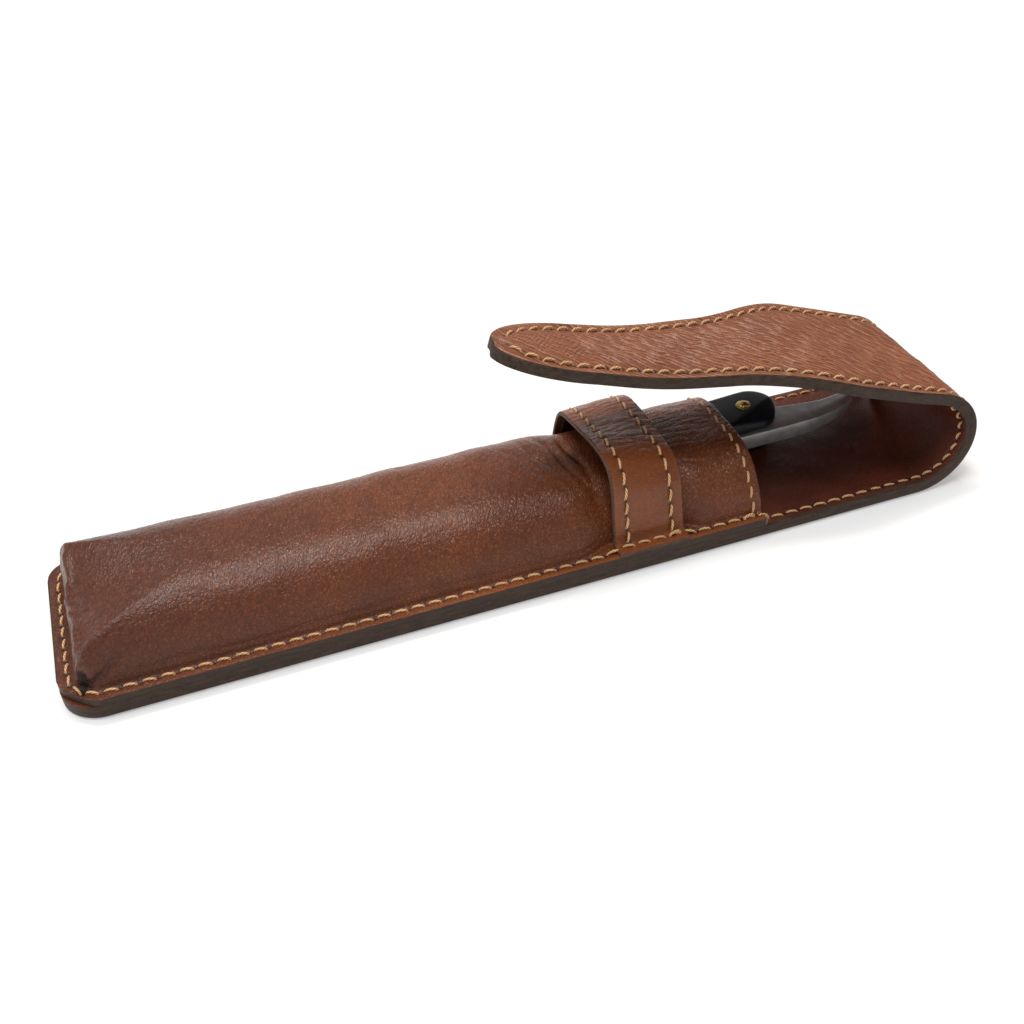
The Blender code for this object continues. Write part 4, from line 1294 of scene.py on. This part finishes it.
def make_blade():
    """Blade, shank, tang and tail, with a crowned top and eased edges along the shank."""
    middle = (TANG_LOW + TANG_HIGH) / 2
    top = np.linspace(0, 1, 15)
    rings = []
    for x, belly, back, thin, waist, thick in curve_through(BLADE_SECTIONS, 460):
        heavy = smooth(99.0, 104.0, x)  # 0 along the blade and 1 along the shank and tang
        ease = 0.35 * heavy + 0.04
        y = mix(belly + ease, back - 0.4, top)
        z = np.interp(top, (0.0, 0.5, 0.9, 1.0), (thin, waist, thick, thick))
        z = z - 1.617 * heavy * np.maximum(0.45 - top, 0.0) ** 2
        lip = [(belly, z[0] - ease), (belly + ease * 0.3, z[0] - ease * 0.3)]
        upper = [*lip, *zip(y, z), (back - 0.1, thick * 0.93), (back, thick * 0.7)]
        lower = [(y, -z) for y, z in reversed(upper)]
        rings.append([(x, y, middle + z) for y, z in upper + lower])
    made = tube("blade_with_tang", np.array(rings), (STEEL,), sharp=25.0)
    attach(made, "blade")
    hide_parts("razor_blade")


def make_upper_scale():
    """The scale that shows: crowned, rounded down at its ends and bevelled at a slant by the pivot."""
    run = SCALE_END_RUN * (1 - np.cos(np.linspace(0, math.pi / 2, 22)))
    middle = np.linspace(SCALE_FROM + SCALE_END_RUN, SCALE_TO - SCALE_END_RUN, 150)[1:-1]
    x = np.concatenate([SCALE_FROM + run, middle, SCALE_TO - run[::-1]])
    part = (x - WEDGE_PIN[0]) / (PIVOT[0] - WEDGE_PIN[0])
    bow = SCALE_BOW * np.sin(math.pi * np.clip(part, 0, 1))
    half = mix(mix(5.8, 6.6, smooth(-0.1, 0.4, part)), 5.6, smooth(0.55, 1.0, part))
    to_end = np.minimum(np.minimum(x - SCALE_FROM, SCALE_TO - x) / SCALE_END_RUN, 1.0)
    round_end = 1 - (1 - to_end) ** 2
    half = half * np.sqrt(np.maximum(round_end, 0.004))
    drop = 0.78 * (1 - np.sqrt(np.maximum(round_end, 0.0)))
    taper = SCALE_TAPER * smooth(SCALE_FROM + 16.0, SCALE_FROM + 1.0, x)
    v = np.linspace(-1, 1, 33)[None, :]
    y = (mix(WEDGE_PIN[1], PIVOT[1], part) - bow)[:, None] + half[:, None] * v
    c, s = math.cos(math.radians(BEVEL_TURN)), math.sin(math.radians(BEVEL_TURN))
    beyond = (x[:, None] - BEVEL_FROM[0]) * c - (y - BEVEL_FROM[1]) * s
    bevel = BEVEL_SLOPE * np.log1p(np.exp(np.clip(beyond / 0.05, -30, 120))) * 0.05
    crown = 0.18 * v**2 + 0.5 * np.abs(v) ** 22
    top = SCALE_HIGH - (drop + taper)[:, None] - np.minimum(crown + bevel, 2.0)
    z = np.maximum(top, SCALE_LOW + 0.35)
    upper = np.stack([np.broadcast_to(x[:, None], y.shape), y, z], -1)
    lower = upper[:, ::-1] * (1, 1, 0) + (0, 0, SCALE_LOW)
    made = tube("upper_scale_crowned", np.concatenate([upper, lower], 1), (SCALES,), sharp=50.0)
    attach(made, "razor")
    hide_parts("razor_scale_upper")


def make_pivot_pin():
    """A brass pin, peened to a dome over a washer, a little unevenly."""
    turn = np.linspace(0, math.tau, 48, endpoint=False)
    uneven = 1 + 0.05 * np.sin(2 * turn + 0.6) + 0.03 * np.sin(5 * turn)
    struck = smooth(-0.2, 0.5, np.sin(turn - 0.9))
    rings = []
    for radius, height in PIN_PROFILE:
        x, y = PIVOT[0] + radius * uneven * np.cos(turn), PIVOT[1] + radius * uneven * np.sin(turn)
        peened = height - 0.10 * smooth(0.35, 0.9, height) * struck * radius
        rings.append(np.stack([x, y, SCALE_HIGH - 0.12 + peened], 1))
    rings.append(rings[-1] * (1, 1, 0) + (0, 0, SCALE_LOW - 7.5))
    made = tube("pivot_pin_peened", np.array(rings), (BRASS,), sharp=30.0)
    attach(made, "razor")
    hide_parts("razor_pivot_pin")


def make_razor():
    make_blade()
    make_upper_scale()
    make_pivot_pin()
    finishes = {"razor_scale_lower": SCALES, "razor_wedge": BONE, "razor_wedge_pin": BRASS}
    for name, finish in finishes.items():
        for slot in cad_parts[name].material_slots:
            slot.material = finish


# ---- stage, light, camera

def make_stage():
    g = Graph("pale_floor")
    floor = g.finish((0.66, 0.66, 0.66), 0.9, Specular_IOR_Level=0.1, Emission_Strength=0.30)
    g.put(g.shader.inputs["Emission Color"], (1.0, 1.0, 1.0))
    size, low = 4.0, CAD_LOW.z - 0.0002
    corners = [(x * size, y * size, low) for x, y in ((-1, -1), (1, -1), (1, 1), (-1, 1))]
    mesh = bpy.data.meshes.new("floor")
    mesh.from_pydata(corners, [], [(0, 1, 2, 3)])
    mesh.materials.append(floor)
    link("floor", mesh)


def area_light(name, spot, size, power, colour=(1.0, 1.0, 1.0)):
    """A rectangular light, in watts, that faces the case."""
    lamp = bpy.data.lights.new(name, "AREA")
    lamp.shape = "RECTANGLE"
    lamp.size, lamp.size_y = size
    lamp.energy = power
    lamp.color = colour
    made = link(name, lamp)
    made.location = spot
    ahead = Vector((0.0, 0.0, 0.015)) - made.location
    made.rotation_euler = ahead.to_track_quat("-Z", "Y").to_euler()


def make_lights():
    world = bpy.data.worlds.new("studio")
    world.use_nodes = True
    sky = world.node_tree.nodes["Background"]
    sky.inputs["Color"].default_value = (1.0, 1.0, 1.0, 1.0)
    sky.inputs["Strength"].default_value = 0.27
    bpy.context.scene.world = world
    area_light("overhead_softbox", (-0.22, -0.04, 1.3), (0.60, 0.40), 9.5)
    area_light("shine_strip", (0.0, 0.42, 1.2), (0.46, 0.13), 5.3, (1.0, 0.91, 0.80))
    area_light("glint_card", (0.36, 0.36, 1.2), (0.20, 0.14), 2.2, (1.0, 0.95, 0.88))
    area_light("back_strip", (0.1, 1.4, 0.25), (2.4, 0.5), 2.5)
    area_light("left_card", (-1.0, 0.1, 0.35), (0.6, 0.5), 2.2)
    area_light("front_card", (-0.2, -1.3, 0.45), (1.0, 0.5), 1.6)


CAMERA_PLACE = (33.363, -188.893, 167.392)
CAMERA_AZIMUTH = 18.372
CAMERA_ELEVATION = 39.084
CAMERA_ROLL = -2.552
CAMERA_LENS = 41.863


def make_camera():
    """The camera at the photo's angle, which was solved from the case's perspective."""
    azimuth, elevation = math.radians(CAMERA_AZIMUTH), math.radians(CAMERA_ELEVATION)
    ahead = math.cos(elevation)
    forward = Vector((math.sin(azimuth) * ahead, math.cos(azimuth) * ahead, -math.sin(elevation)))
    right = Vector((math.cos(azimuth), -math.sin(azimuth), 0.0))
    lens = bpy.data.cameras.new("camera")
    lens.lens = CAMERA_LENS
    lens.sensor_width = 36.0
    lens.clip_start = 0.01
    camera = link("camera", lens)
    camera.matrix_world = (
        Matrix.Translation((Vector(CAMERA_PLACE) + Vector((CLOSED_END, 0.0, 0.0))) * MM)
        @ Matrix((right, right.cross(forward), -forward)).transposed().to_4x4()
        @ Matrix.Rotation(math.radians(CAMERA_ROLL), 4, "Z")
    )
    bpy.context.scene.camera = camera


# ---- build

bpy.context.scene.view_settings.view_transform = "Standard"
make_camera()
make_stage()
make_lights()
make_strap()
pouch_surface, pouch_normal = make_pouch()
make_facing(pouch_surface, pouch_normal)
make_keeper()
make_perimeter_seam()
make_rows(pouch_surface, pouch_normal)
make_razor()
